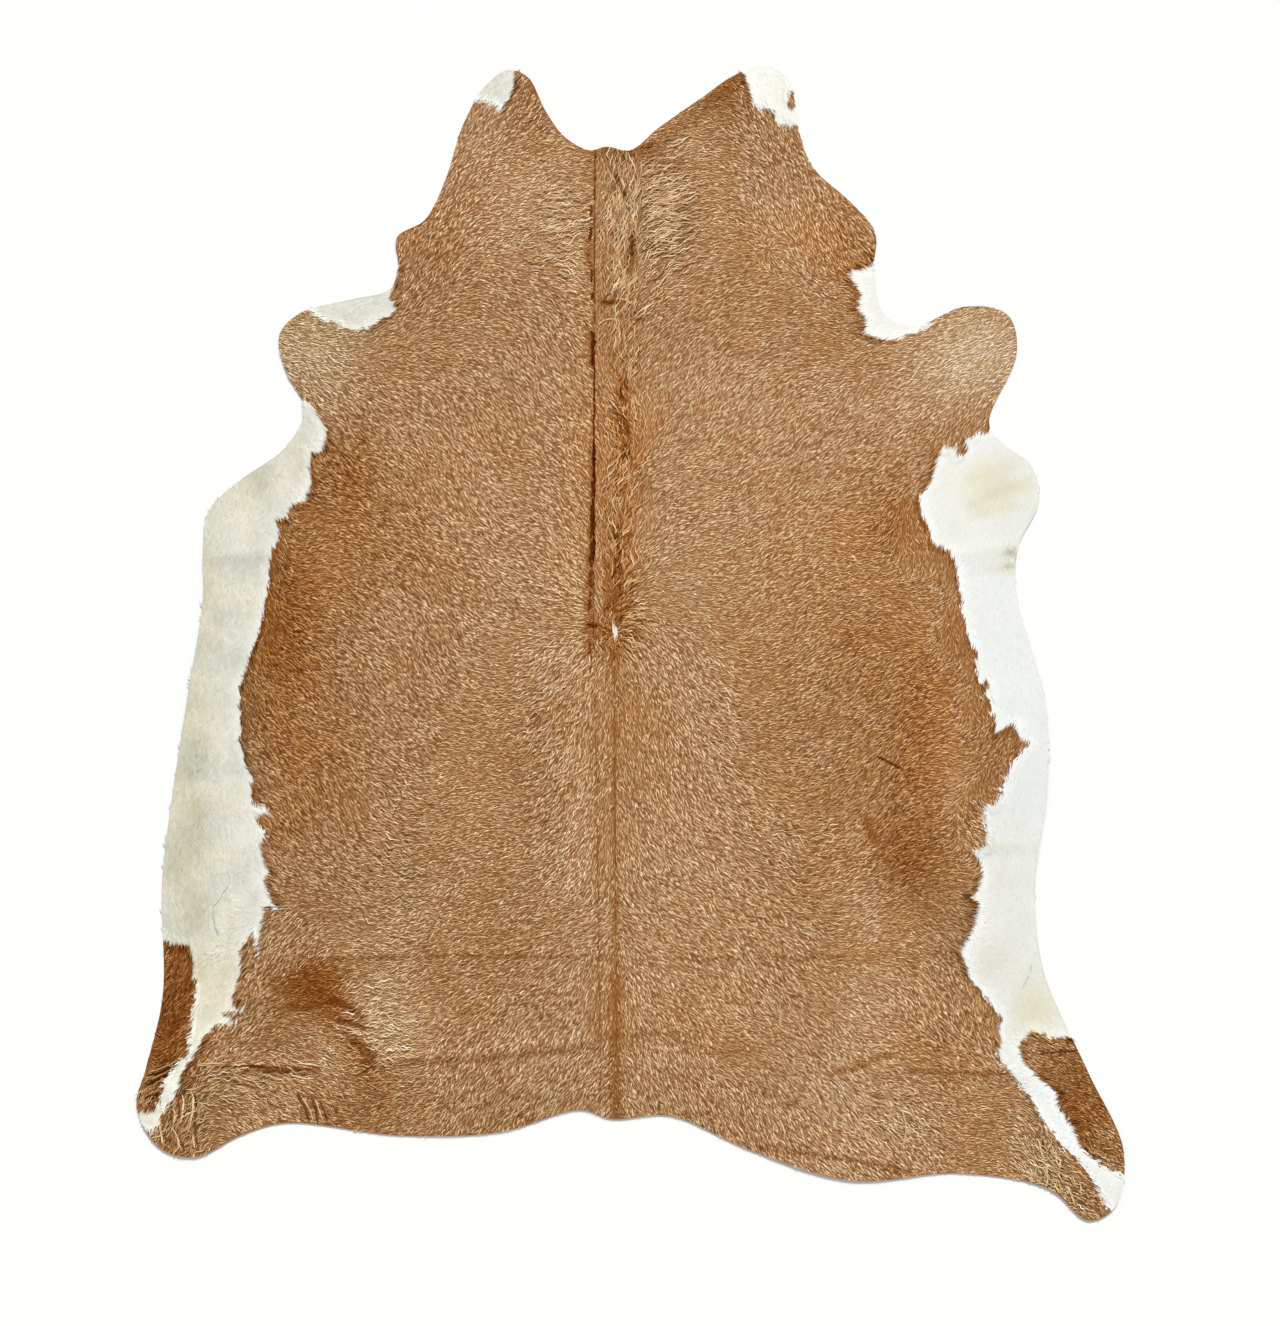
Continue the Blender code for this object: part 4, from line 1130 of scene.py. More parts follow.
def edge_hairs(sizes, seed, on_white):
    """Everything that the fine hairs along the tan and white areas' common edge need."""
    form = hide_form()
    rng = np.random.default_rng(seed + 61 + on_white)
    places = shaken_grid(form, EDGE_HAIR_SPACING, EDGE_HAIR_SPACING * EDGE_HAIR_SHAKE, rng)
    places = places[form.from_rim(places) > EDGE_HAIR_CLEARANCE]
    depth = white_depth(places)
    inner = depth if on_white else -depth
    keep = (inner > -EDGE_HAIR_BACK) & (inner < EDGE_HAIR_REACH)
    places, depth = only(keep, places, depth)
    heading = strayed(comb_heading(places), places, EDGE_DRIFT, EDGE_HABIT, seed + 62, rng)
    length = EDGE_HAIR_LENGTH * rng.uniform(*EDGE_HABIT.lengths, len(places))
    centre = tuft_points(aim(places, heading, length), EDGE_TUFT_SIZE, seed + 63)
    free = 1 - EDGE_TUFT_PULL
    heading = heading_of(aim(places, heading, free * length) * free + centre * EDGE_TUFT_PULL - places)
    gain = (white_depth(aim(places, heading, EDGE_LOOK_AHEAD)) - depth) / EDGE_LOOK_AHEAD
    crossing = gain < -EDGE_CROSSING if on_white else gain > EDGE_CROSSING
    places, heading, length = only(crossing, places, heading, length)
    count = len(places)
    places = aim(places, heading, -0.5 * length)
    length = within_rim(places, heading, length, EDGE_HABIT.overhang)
    colour = EDGE_COLOURS[on_white]
    tone, warmth = shade_sums(places, colour.shades)
    tone += colour.tone + colour.tone_scatter * rng.normal(0, 1, count)
    warmth += colour.warmth + colour.warmth_scatter * rng.normal(0, 1, count)
    shape = rng.integers(0, len(LOCK_SHAPES), count)
    return rooted(sizes, places, heading, length, tone, warmth, shape, EDGE_HABIT.lift)


def long_strands(sizes, seed):
    """Everything that the long wavy strands need, one value a strand."""
    rng = np.random.default_rng(seed + 41)
    spots, lengths, tones = [], [], []
    for bed in CURLY_AREAS:
        off = rng.normal(0, STRAND_SPREAD, (bed.count, 2)) * (bed.reach_x, bed.reach_y)
        spots.append(place(off + (bed.x, bed.y)))
        lengths.append(bed.length * MM * rng.uniform(*STRAND_HABIT.lengths, bed.count))
        tones.append(bed.tone + STRAND_TONE_SCATTER * rng.normal(0, 1, bed.count))
    places, length, extra = (np.concatenate(held) for held in (spots, lengths, tones))
    heading = strayed(comb_heading(places), places, STRAND_DRIFT, STRAND_HABIT, seed + 5, rng)
    keep = hide_form().from_rim(places) > STRAND_CLEARANCE
    keep &= white_depth(places) < -STRAND_WHITE_CLEARANCE
    for share in (0.5, 1):
        keep &= white_depth(aim(places, heading, length * share)) < 0
    places, heading, length, extra = only(keep, places, heading, length, extra)
    count = len(places)
    length = within_rim(places, heading, length, STRAND_HABIT.overhang)
    tone, warmth = shade_sums(places, TAN_SHADES)
    tone += MIDDLE_TONE + extra
    scatter = WARMTH_SCATTER * rng.normal(0, 1, count)
    warmth += TAN_WARMTH + STRAND_WARMTH + PALE_STRAND_WARMTH * extra + scatter
    kind = 0.5 + 0.5 * lattice_noise(places, STRAND_KIND_STEP, seed + 42)
    kind = (kind + rng.normal(0, STRAND_KIND_SCATTER, count)) * CURLY_KINDS
    shape = np.clip(kind, 0, CURLY_KINDS - 1).astype(int)
    return rooted(sizes, places, heading, length, tone, warmth, shape, STRAND_HABIT.lift)


def laid_strands(sizes, lines, seed):
    """Everything that the strands along the laid lines need, one value a strand."""
    rng = np.random.default_rng(seed + 81)
    made = []
    for line in lines:
        start, end = place(line.start), place(line.end)
        whole = math.dist(start, end)
        strand = min(line.strand * MM, whole)
        steps = max(1, round((whole - strand) / (LAID_STEP * strand)))
        share = (strand / 2 + (whole - strand) * np.arange(steps + 1) / steps) / whole
        share = share[rng.uniform(0, 1, steps + 1) >= line.gap_share][:, None]
        count = len(share)
        across = np.array([start[1] - end[1], end[0] - start[0]]) / whole
        bow = across * line.bow * CM * 4
        scatter = np.radians(LAID_HABIT.scatter) * rng.normal(0, 1, count)
        heading = heading_of(end - start + bow * (1 - 2 * share)) + scatter
        length = strand * rng.uniform(*LAID_HABIT.lengths, count)
        middle = start + (end - start) * share + bow * share * (1 - share)
        middle += across * line.width * MM * rng.uniform(-LAID_SIDEWAYS, LAID_SIDEWAYS, (count, 1))
        tone = line.tone + LAID_TONE_SCATTER * rng.normal(0, 1, count)
        warmth = line.warmth + LAID_WARMTH_SCATTER * rng.normal(0, 1, count)
        girth = line.width * MM / sizes.lock_width / LAID_GIRTH * rng.uniform(*LAID_GIRTHS, count)
        made.append((aim(middle, heading, -0.5 * length), heading, length, tone, warmth, girth))
    places, heading, length, tone, warmth, girth = (np.concatenate(held) for held in zip(*made))
    shape = np.full(len(places), CURLY_KINDS)
    roots = rooted(sizes, places, heading, length, tone, warmth, shape, LAID_HABIT.lift)
    roots["length"] = within_rim(places, heading, length, LAID_HABIT.overhang)
    return {**roots, "girth": girth}


def keep_values(mesh, name, values, kind="FLOAT", domain="POINT"):
    """Store one value for each of the mesh's points or faces, under a name."""
    held = mesh.attributes.new(name, kind, domain).data
    held.foreach_set("vector" if kind == "FLOAT_VECTOR" else "value", values)


def helper_mesh(name, verts, faces, along, sides):
    """A closed hair shape with each vertex's share of the way to the tip and each face's side."""
    shape = bmesh.new()
    corners = [shape.verts.new(spot) for spot in verts]
    for face in faces:
        shape.faces.new([corners[i] for i in face])
    bmesh.ops.recalc_face_normals(shape, faces=shape.faces[:])
    mesh = bpy.data.meshes.new(name)
    shape.to_mesh(mesh)
    shape.free()
    keep_values(mesh, "along", along)
    keep_values(mesh, "side", sides, domain="FACE")
    return mesh


def lock_mesh(name, shape):
    """A closed wedge of four faces: root, widest points and a raised tip."""
    verts = [
        (0.0, 0.0, LOCK_FOOT), (shape.widest, 0.5, 0.0), (shape.widest + LOCK_SKEW, -0.5, 0.0),
        (1.0, shape.lean, 1.0),
    ]
    faces = [(0, 3, 1), (0, 2, 3), (0, 1, 2), (1, 2, 3)]
    return helper_mesh(name, verts, faces, [0, 0.5, 0.5, 1], [1, -1, 0, 0])


def strand_mesh(name, shape):
    """A closed wavy strand with three sides, narrow at both ends."""
    start = math.sin(math.tau * shape.turn)

    def swung(t):
        return shape.swing * (math.sin(math.tau * (shape.waves * t + shape.turn)) - start)

    verts, along = [(0.0, 0.0, LOCK_FOOT)], [0.0]
    for i in range(1, STRAND_STEPS):
        t = i / STRAND_STEPS
        middle = swung(t)
        part = STRAND_FOOT_PART + (STRAND_TIP_PART - STRAND_FOOT_PART) * t
        half = 0.5 * math.sin(math.pi * part)
        rise = STRAND_ARCH * math.sin(math.pi * t) + STRAND_TIP * t
        verts += [(t, middle + half, rise), (t, middle - half, rise), (t, middle, rise + STRAND_RIDGE)]
        along += [t, t, t]
    tip = len(verts)
    verts.append((1.0, swung(1), STRAND_TIP_HEIGHT))
    along.append(1.0)
    faces = [(0, 3, 1), (0, 2, 3), (0, 1, 2)]
    for ring in range(1, tip - 3, 3):
        for a, b in ((0, 2), (2, 1), (1, 0)):
            faces.append((ring + a, ring + b, ring + b + 3, ring + a + 3))
    faces += [(tip - 3, tip - 1, tip), (tip - 1, tip - 2, tip), (tip - 2, tip - 3, tip)]
    sides = [1, -1, 0] * (len(faces) // 3)
    return helper_mesh(name, verts, faces, along, sides)


class Tree:
    """A node tree in the making: adds nodes by type, with their settings and what their sockets take."""

    def __init__(self, tree):
        self.tree = tree

    def node(self, kind, settings=None, stops=None, **sockets):
        made = self.tree.nodes.new(kind)
        for key, value in (settings or {}).items():
            setattr(made, key, value)
        if stops:
            self.set_stops(made.color_ramp, stops)
        for key, value in sockets.items():
            self.feed(self.socket(made, key), value)
        return made

    @staticmethod
    def set_stops(ramp, stops):
        while len(ramp.elements) < len(stops):
            ramp.elements.new(1.0)
        for element, (at, colour) in zip(ramp.elements, stops):
            element.position = at
            element.color = colour

    @staticmethod
    def socket(made, key):
        """An input by its name with _ for a space, or by its number as n0, n1 and so on."""
        if key[0] == "n" and key[1:].isdigit():
            return made.inputs[int(key[1:])]
        wanted = key.replace("_", " ").lower()
        return next(s for s in made.inputs if s.name.lower() == wanted and s.enabled)

    def feed(self, socket, value):
        if isinstance(value, Value):
            value = value.socket
        if isinstance(value, bpy.types.NodeSocket):
            self.tree.links.new(value, socket)
        else:
            socket.default_value = value

    def value(self, made, output=0):
        return Value(self, made.outputs[output])

    def parts(self, vector):
        """The x and the y of a vector."""
        made = self.node("ShaderNodeSeparateXYZ", vector=vector)
        return self.value(made, 0), self.value(made, 1)

    def mix(self, factor, a, b):
        """A colour between two others."""
        return self.node("ShaderNodeMix", {"data_type": "RGBA"}, factor=factor, a=a, b=b).outputs[2]

    def noise(self, spot, scale, detail):
        return self.value(self.node("ShaderNodeTexNoise", vector=spot, scale=scale, detail=detail))

    def kept(self, name):
        """A value that the mesh keeps under a name."""
        return self.value(self.node("ShaderNodeAttribute", {"attribute_name": name}), 2)


class Value:
    """A number socket that can be used in sums: each operation adds its Math node."""

    def __init__(self, tree, socket):
        self.tree = tree
        self.socket = socket

    def maths(self, operation, *others, clamp=False):
        """This number and the others, put through one Math node."""
        numbers = {f"n{i}": other for i, other in enumerate((self, *others))}
        settings = {"operation": operation, "use_clamp": clamp}
        return self.tree.value(self.tree.node("ShaderNodeMath", settings, **numbers))

    def __add__(self, other):
        return self.maths("ADD", other)

    __radd__ = __add__

    def __sub__(self, other):
        return self.maths("SUBTRACT", other)

    def __rsub__(self, other):
        return self * -1 + other

    def __mul__(self, other):
        return self.maths("MULTIPLY", other)

    __rmul__ = __mul__

    def clamp(self):
        return self.maths("ADD", 0.0, clamp=True)


@lru_cache(maxsize=1)
def hair_tree():
    """Geometry nodes that set a hair shape on every root, turned and sized by the root's values."""
    tree = bpy.data.node_groups.new("set hair on roots", "GeometryNodeTree")
    for name, kind in (
        ("Roots", "Geometry"), ("Shapes", "Collection"), ("Width", "Float"), ("Rise", "Float"),
        ("Spread", "Float"), ("Roll", "Float"), ("Seed", "Int"), ("Material", "Material"),
    ):
        tree.interface.new_socket(name=name, in_out="INPUT", socket_type=f"NodeSocket{kind}")
    tree.interface.new_socket(name="Hair", in_out="OUTPUT", socket_type="NodeSocketGeometry")
    graph = Tree(tree)
    given = graph.node("NodeGroupInput").outputs

    def root_value(name, kind="FLOAT"):
        return graph.value(graph.node("GeometryNodeInputNamedAttribute", {"data_type": kind}, name=name))

    def chance(low, high, seed):
        settings = {"data_type": "FLOAT"}
        made = graph.node("FunctionNodeRandomValue", settings, min=low, max=high, seed=seed)
        return graph.value(made, 1)

    seed = Value(graph, given["Seed"])
    spread, roll = Value(graph, given["Spread"]), Value(graph, given["Roll"])
    points = graph.node("GeometryNodeMeshToPoints", {"mode": "VERTICES"}, mesh=given["Roots"])
    shapes = graph.node("GeometryNodeCollectionInfo", collection=given["Shapes"],
                        separate_children=True, reset_children=True)
    turn = graph.node("ShaderNodeCombineXYZ", x=chance(roll * -1, roll, seed + 1),
                      y=root_value("pitch") * -1, z=root_value("heading"))
    rotation = graph.node("FunctionNodeEulerToRotation", euler=turn.outputs[0])
    size = graph.node("ShaderNodeCombineXYZ", x=root_value("length"),
                      y=root_value("girth") * given["Width"] * chance(1 - spread, 1 + spread, seed + 2),
                      z=Value(graph, given["Rise"]) * chance(1 - spread, 1 + spread, seed + 3))
    hair = graph.node("GeometryNodeInstanceOnPoints", points=points.outputs[0],
                      instance=shapes.outputs[0], pick_instance=True,
                      instance_index=root_value("shape", "INT"),
                      rotation=rotation.outputs[0], scale=size.outputs[0])
    real = graph.node("GeometryNodeRealizeInstances", geometry=hair.outputs[0])
    done = graph.node("GeometryNodeSetMaterial", geometry=real.outputs[0], material=given["Material"])
    graph.node("NodeGroupOutput", hair=done.outputs[0])
    return tree


@lru_cache(maxsize=None)
def shape_collection(kind):
    """The hair shapes of one kind, kept out of the scene."""
    shapes = bpy.data.collections.new(kind)
    makers = {"locks": (lock_mesh, LOCK_SHAPES), "strands": (strand_mesh, STRAND_SHAPES)}
    maker, forms = makers[kind]
    for i, form in enumerate(forms):
        name = f"{kind}-{i}"
        shapes.objects.link(bpy.data.objects.new(name, maker(name, form)))
    return shapes


def grow(context, name, roots, look, seed):
    """One finished piece of coat: a hair shape on every root, as a plain mesh with its colours."""
    bed = bpy.data.meshes.new(name)
    bed.vertices.add(len(roots["place"]))
    spots = np.column_stack([roots["place"], roots["height"]])
    bed.vertices.foreach_set("co", spots.ravel())
    keep_values(bed, "shape", roots["shape"], "INT")
    roots.setdefault("girth", np.ones(len(roots["place"])))
    for key in ("heading", "pitch", "length", "girth", "tone", "warmth"):
        keep_values(bed, key, roots[key])
    piece = bpy.data.objects.new(name, bed)
    context.scene.collection.objects.link(piece)
    growing = piece.modifiers.new("hair", "NODES")
    growing.node_group = hair_tree()
    inputs = {
        "Shapes": shape_collection(look.kind), "Width": look.width, "Rise": look.rise,
        "Spread": look.spread, "Roll": look.roll, "Seed": seed, "Material": look.material,
    }
    for item in growing.node_group.interface.items_tree:
        if item.name in inputs:
            growing[item.identifier] = inputs[item.name]
    ready = piece.evaluated_get(context.evaluated_depsgraph_get())
    mesh = bpy.data.meshes.new_from_object(ready)
    piece.modifiers.clear()
    piece.data = mesh
    bpy.data.meshes.remove(bed)
    if not len(mesh.polygons):
        raise RuntimeError(f"no hair grew on {name}")
    colour_hair(mesh, look)
    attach(piece, BODY)


def colour_hair(mesh, look):
    """Store each corner's tone and warmth, and drop the values that only the growing needed."""
    count = len(mesh.vertices)
    values = {key: np.empty(count, np.float32) for key in ("tone", "warmth", "along", "heading")}
    for key, held in values.items():
        mesh.attributes[key].data.foreach_get("value", held)
    spots = np.empty(count * 3, np.float32)
    mesh.vertices.foreach_get("co", spots)
    # The marks' painted shade and light, at every point of the hair
    tone, warmth = mark_sums(spots.reshape(-1, 3)[:, :2].astype(float), look.marks)
    tone += values["tone"] + look.tip_shade * (values["along"] - 0.5)
    warmth += values["warmth"]
    corners = np.empty(len(mesh.loops), np.int32)
    mesh.loops.foreach_get("vertex_index", corners)
    side, sizes = np.empty(len(mesh.polygons), np.float32), np.empty(len(mesh.polygons), np.int32)
    mesh.attributes["side"].data.foreach_get("value", side)
    mesh.polygons.foreach_get("loop_total", sizes)
    colours = np.column_stack([tone, warmth])[corners]
    # Painted light and shade: the side of a lock that faces the key light beyond the neck is painted
    # paler and its other side darker, most where the hair lies at 45 degrees to the neck
    key_facing = 2 * np.cos(values["heading"]) * np.abs(np.sin(values["heading"]))
    colours[:, 0] += look.side_shade * np.repeat(side, sizes) * key_facing[corners]
    mesh.uv_layers.new(name=PALETTE_MAP).data.foreach_set("uv", colours.clip(0.0, 1.0).ravel())
    for key in ("pitch", "length", "girth", "shape", "side", *values):
        if key in mesh.attributes:
            mesh.attributes.remove(mesh.attributes[key])


def grow_parts(context, names, parts, roots, look, seed):
    """One piece of coat for each name, from its own part of the roots."""
    for name, part in zip(names, parts):
        grow(context, name, {key: values[part] for key, values in roots.items()}, look, seed)


def linear(colour):
    """A colour as screens write it, from 0 to 255, in the linear values that shaders take."""
    shares = (part / 255 for part in colour)
    return (*(s / 12.92 if s <= 0.04045 else ((s + 0.055) / 1.055) ** 2.4 for s in shares), 1.0)


def new_material(name):
    material = bpy.data.materials.new(name)
    material.use_nodes = True
    material.node_tree.nodes.clear()
    return material, Tree(material.node_tree)


def finish_material(graph, shine, **sockets):
    """Add the surface's shader, with how strongly it mirrors, and the material's output."""
    shader = graph.node("ShaderNodeBsdfPrincipled", specular_ior_level=shine, **sockets)
    graph.node("ShaderNodeOutputMaterial", surface=shader.outputs[0])


def hair_material(name, cool, warm, roughness, smoothing, shine):
    """Hair in a palette of its own: tone runs along two rows of colours, warmth mixes them."""
    material, graph = new_material(name)
    tone, warmth = graph.parts(graph.node("ShaderNodeUVMap", {"uv_map": PALETTE_MAP}).outputs[0])
    ends = []
    for colours in (cool, warm):
        stops = [(i / (len(colours) - 1), linear(colour)) for i, colour in enumerate(colours)]
        ends.append(graph.node("ShaderNodeValToRGB", stops=stops, fac=tone).outputs[0])
    colour = graph.mix(warmth, *ends)
    finish_material(graph, shine, base_color=colour, roughness=roughness - tone * smoothing)
    return material


@lru_cache(maxsize=1)
def tan_hair():
    """Tan hair: sandy where it is cool, red-brown where it is warm, dark at the roots."""
    return hair_material(
        "tan hair", SANDY_HAIR, RUDDY_HAIR, roughness=0.62, smoothing=0.14, shine=0.02
    )


def white_hair():
    """White hair: grey where it is cool, cream where it is warm."""
    return hair_material(
        "white hair", COOL_HAIR, CREAM_HAIR, roughness=0.55, smoothing=0.1, shine=0.3
    )


def leather(name, colour, fleck, grain_size, bump_height, roughness):
    """Leather with soft clouds and a fine grain."""
    material, graph = new_material(name)
    spot = graph.node("ShaderNodeTexCoord").outputs["Object"]
    clouds = graph.noise(spot, CLOUDS_A_METRE, 5.0)
    grain = graph.noise(spot, 1 / grain_size, 3.0)
    flecked = (clouds * CLOUD_SHARE + grain * GRAIN_SHARE - FLECK_FROM).clamp()
    raised = graph.node("ShaderNodeBump", height=grain, distance=bump_height)
    finish_material(graph, SKIN_SHINE, base_color=graph.mix(flecked, linear(colour), linear(fleck)),
                    roughness=roughness + grain * GRAIN_ROUGHNESS, normal=raised.outputs[0])
    return material


def flesh_side():
    """The plain underside, like suede."""
    return leather("flesh side", (166, 140, 112), (190, 168, 140), grain_size=2.5 * MM,
                   bump_height=0.3 * MM, roughness=0.85)


def cut_edge():
    """The pale core of the leather, where it was cut."""
    return leather("cut edge", (204, 186, 158), (226, 214, 192), grain_size=1.5 * MM,
                   bump_height=0.2 * MM, roughness=0.75)


def skin_streaks(graph, spot):
    """A share of light, as fine streaks along the comb: noise added up at places along the hair."""
    comb = graph.node("ShaderNodeAttribute", {"attribute_name": "comb"}).outputs["Vector"]
    total = 0.0
    for share in np.linspace(-1, 1, SKIN_STREAK_STEPS):
        shifted = graph.node("ShaderNodeVectorMath", {"operation": "MULTIPLY_ADD"}, n0=comb,
                             n1=(share * SKIN_STREAK_REACH,) * 3, n2=spot)
        total = graph.noise(shifted.outputs[0], 1 / SKIN_STREAK_WIDTH, 0.0) + total
    return (total - SKIN_STREAK_STEPS / 2) * SKIN_STREAK_CONTRAST + 0.5


def hair_side():
    """The skin under the coat: dark under tan hair, pale under white and in the bare sliver."""
    material, graph = new_material("hair side of the skin")
    spot = graph.node("ShaderNodeTexCoord").outputs["Object"]
    grain = graph.noise(spot, GRAINS_A_METRE, 3.0)
    x, y = graph.parts(spot)

    light = (skin_streaks(graph, spot) + graph.kept("coat tone") * TONE_GAIN).clamp()
    sandy, ruddy = (graph.mix(light, *map(linear, ends)) for ends in (SANDY_SKIN, RUDDY_SKIN))
    dark = graph.mix(graph.kept("coat warmth").clamp(), sandy, ruddy)
    lit = (graph.kept("white tone") - PALE_FROM) * PALE_GAIN + (grain - 0.5) * PALE_GRAIN
    pale = graph.mix(lit.clamp(), *map(linear, PALE_SKIN))

    # Painted shade along the neck's parting, over its darker roots: a thin dark line on the skin
    top, end = place(PARTING_TOP), place(PARTING_END)
    slope = (top[0] - end[0]) / (top[1] - end[1])
    away = (x - y * slope - (end[0] - slope * end[1])).maths("ABSOLUTE")
    parting_shade = (PARTED_EDGE - away * (1 / PARTED_WIDTH)).clamp() * y.maths("GREATER_THAN", end[1])
    under = graph.mix(parting_shade, dark, linear(PARTED_SKIN))

    white = (graph.kept("white depth") * BORDER_SHARPNESS + grain - FLECK_FROM).clamp()
    for bare in BARE_SPOTS:
        middle = place((bare.x, bare.y))
        wide, long = (x - middle[0]) * (2 / bare.width / CM), (y - middle[1]) * (2 / bare.length / CM)
        away = (wide * wide + long * long).maths("SQRT")
        white = white + ((BARE_EDGE - away) * BARE_SHARPNESS).clamp()
    finish_material(graph, SKIN_SHINE, base_color=graph.mix(white.clamp(), under, pale),
                    roughness=0.7 + grain * GRAIN_ROUGHNESS)
    return material


def sheet_layer(rim, step, seed):
    """(places, faces, number of each rim point): one flat layer, even inside and exact at its rim."""
    form = hide_form()
    inner = shaken_grid(form, step, step * SKIN_SHAKE, np.random.default_rng(seed))
    inner = inner[form.from_rim(inner) > min(RIM_CLEARANCE, step / 2)]
    places = np.concatenate([rim, inner])
    verts, _, faces, origins, *_ = delaunay_2d_cdt(
        [Vector(spot) for spot in places], [], [list(range(len(rim)))], 1, SAME_POINT
    )
    number = {origin: i for i, group in enumerate(origins) for origin in group}
    return np.array([tuple(vert) for vert in verts]), faces, [number[i] for i in range(len(rim))]


def skin_mesh(sizes, seed):
    """The skin as one closed thin sheet: a fine hair side, a plain flesh side and the cut edge."""
    form = hide_form()
    top, top_faces, top_rim = sheet_layer(form.rim, sizes.skin_step, seed)
    under, under_faces, under_rim = sheet_layer(form.rim, UNDERSIDE_STEP, seed + 1)
    top_height = form.skin_floor(top) + sizes.skin_thickness
    under_height = np.maximum(0.0, form.skin_floor(under))
    flat = np.concatenate([top, under])
    verts = np.column_stack([flat, np.concatenate([top_height, under_height])])
    shift = len(top)
    faces = [tuple(face) for face in top_faces]
    faces += [tuple(i + shift for i in reversed(face)) for face in under_faces]
    count = len(top_rim)
    for i in range(count):
        after = (i + 1) % count
        faces.append((top_rim[i], under_rim[i] + shift, under_rim[after] + shift, top_rim[after]))
    mesh = bpy.data.meshes.new("skin")
    mesh.from_pydata(verts.tolist(), [], faces)
    kinds = [0] * len(top_faces) + [1] * len(under_faces) + [2] * count
    mesh.polygons.foreach_set("material_index", kinds)
    depth = white_depth(flat)
    keep_values(mesh, "white depth", depth / CM)
    keep_values(mesh, "white tone", white_shade(flat, depth)[0])
    comb = np.column_stack([pointing(comb_heading(flat)), np.zeros(len(flat))])
    keep_values(mesh, "comb", comb.ravel(), "FLOAT_VECTOR")
    tone, warmth = shade_sums(flat, TAN_SHADES)
    keep_values(mesh, "coat tone", tone)
    keep_values(mesh, "coat warmth", warmth + TAN_WARMTH)
    mesh.shade_smooth()
    mesh.set_sharp_from_angle(angle=SKIN_SHARP_ANGLE)
    return mesh


def length_property(name, description, default, least, most):
    """A length for the panel, given in millimetres."""
    return FloatProperty(
        name=name, description=description, default=default * MM, min=least * MM, max=most * MM,
        unit="LENGTH", precision=4,
    )


class RugSizes(bpy.types.PropertyGroup):
    skin_thickness: length_property("Skin thickness", "Thickness of the bare leather", 2.2, 1, 4)
    skin_step: length_property("Skin step", "Distance between points of the skin's hair side", 13, 6, 40)
    lock_spacing: length_property("Lock spacing", "Distance between the roots of two locks", 4.0, 3, 20)
    lock_length: length_property("Lock length", "Length of a lock of the tan coat", 11.5, 4, 40)
    lock_width: length_property("Lock width", "Width of a lock at its widest", 1.85, 1, 10)
    lock_rise: length_property("Lock rise", "How far a lock's tip stands over its root", 1.8, 0.5, 10)
    white_length: length_property("White lock length", "Length of a lock of the white coat", 14, 4, 40)
    tuft_size: length_property("Tuft size", "Distance between the tufts that locks form", 9, 5, 60)
    seed: IntProperty(name="Seed", description="Changes every small chance in the coat", default=11)


class StageSettings(bpy.types.PropertyGroup):
    floor_colour: FloatVectorProperty(
        name="Floor", description="Colour of the floor", subtype="COLOR", size=3,
        default=(0.9, 0.9, 0.89), min=0, max=1,
    )
    key_strength: FloatProperty(
        name="Key light", description="Strength of the soft light from beyond the neck",
        default=3.2, min=0,
    )
    fill_strength: FloatProperty(
        name="Fill", description="Strength of the even light from all round", default=0.48, min=0,
    )
    view_height: FloatProperty(
        name="View height", description="What the picture's height takes in at the floor",
        default=2.453, min=0.5, unit="LENGTH",
    )


class RUG_OT_skin(bpy.types.Operator):
    """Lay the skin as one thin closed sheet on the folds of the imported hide"""

    bl_idname = "rug.skin"
    bl_label = "Lay the skin"

    def execute(self, context):
        sizes = context.scene.rug_sizes
        skin = bpy.data.objects.new("skin", skin_mesh(sizes, sizes.seed))
        context.scene.collection.objects.link(skin)
        for material in (hair_side(), flesh_side(), cut_edge()):
            skin.data.materials.append(material)
        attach(skin, BODY)
        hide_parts(HIDE)
        return {"FINISHED"}


class RUG_OT_tan_coat(bpy.types.Operator):
    """Comb the short tan coat, in bands from the neck to the rump"""

    bl_idname = "rug.tan_coat"
    bl_label = "Comb the tan coat"

    def execute(self, context):
        sizes = context.scene.rug_sizes
        roots = tan_locks(sizes, sizes.seed)
        look = HairLook(
            kind="locks", width=sizes.lock_width, rise=sizes.lock_rise, spread=0.35,
            roll=math.radians(14), tip_shade=0.14, side_shade=0.28, marks=TAN_MARKS,
            material=tan_hair(), slot="tan_hair",
        )
        from_neck = np.argsort(-roots["place"][:, 1], kind="stable")
        names = ("coat_neck", "coat_shoulders", "coat_back", "coat_loins", "coat_rump")
        grow_parts(context, names, np.array_split(from_neck, len(names)), roots, look, sizes.seed)
        fine = look._replace(width=EDGE_HAIR_WIDTH, tip_shade=-0.05)
        grow(context, "coat_edge_tan", edge_hairs(sizes, sizes.seed, 0), fine, sizes.seed)
        return {"FINISHED"}


class RUG_OT_white_coat(bpy.types.Operator):
    """Comb the short white coat of both flanks, the neck flaps and the foreleg pits"""

    bl_idname = "rug.white_coat"
    bl_label = "Comb the white coat"

    def execute(self, context):
        sizes = context.scene.rug_sizes
        roots = white_locks(sizes, sizes.seed)
        look = HairLook(
            kind="locks", width=3.4 * sizes.lock_width, rise=0.15 * sizes.lock_rise, spread=0.2,
            roll=math.radians(2), tip_shade=0.03, side_shade=0.0, marks=WHITE_MARKS,
            material=white_hair(), slot="white_hair",
        )
        fine = look._replace(width=EDGE_HAIR_WIDTH)
        grow(context, "coat_edge_white", edge_hairs(sizes, sizes.seed, 1), fine, sizes.seed)
        on_left = roots["place"][:, 0] < 0
        names = ("coat_white_left", "coat_white_right")
        grow_parts(context, names, (on_left, ~on_left), roots, look, sizes.seed)
        veins = look._replace(kind="strands", width=LAID_GIRTH * sizes.lock_width, marks=())
        grow(context, "coat_veins", laid_strands(sizes, WHITE_LINES, sizes.seed), veins, sizes.seed)
        return {"FINISHED"}


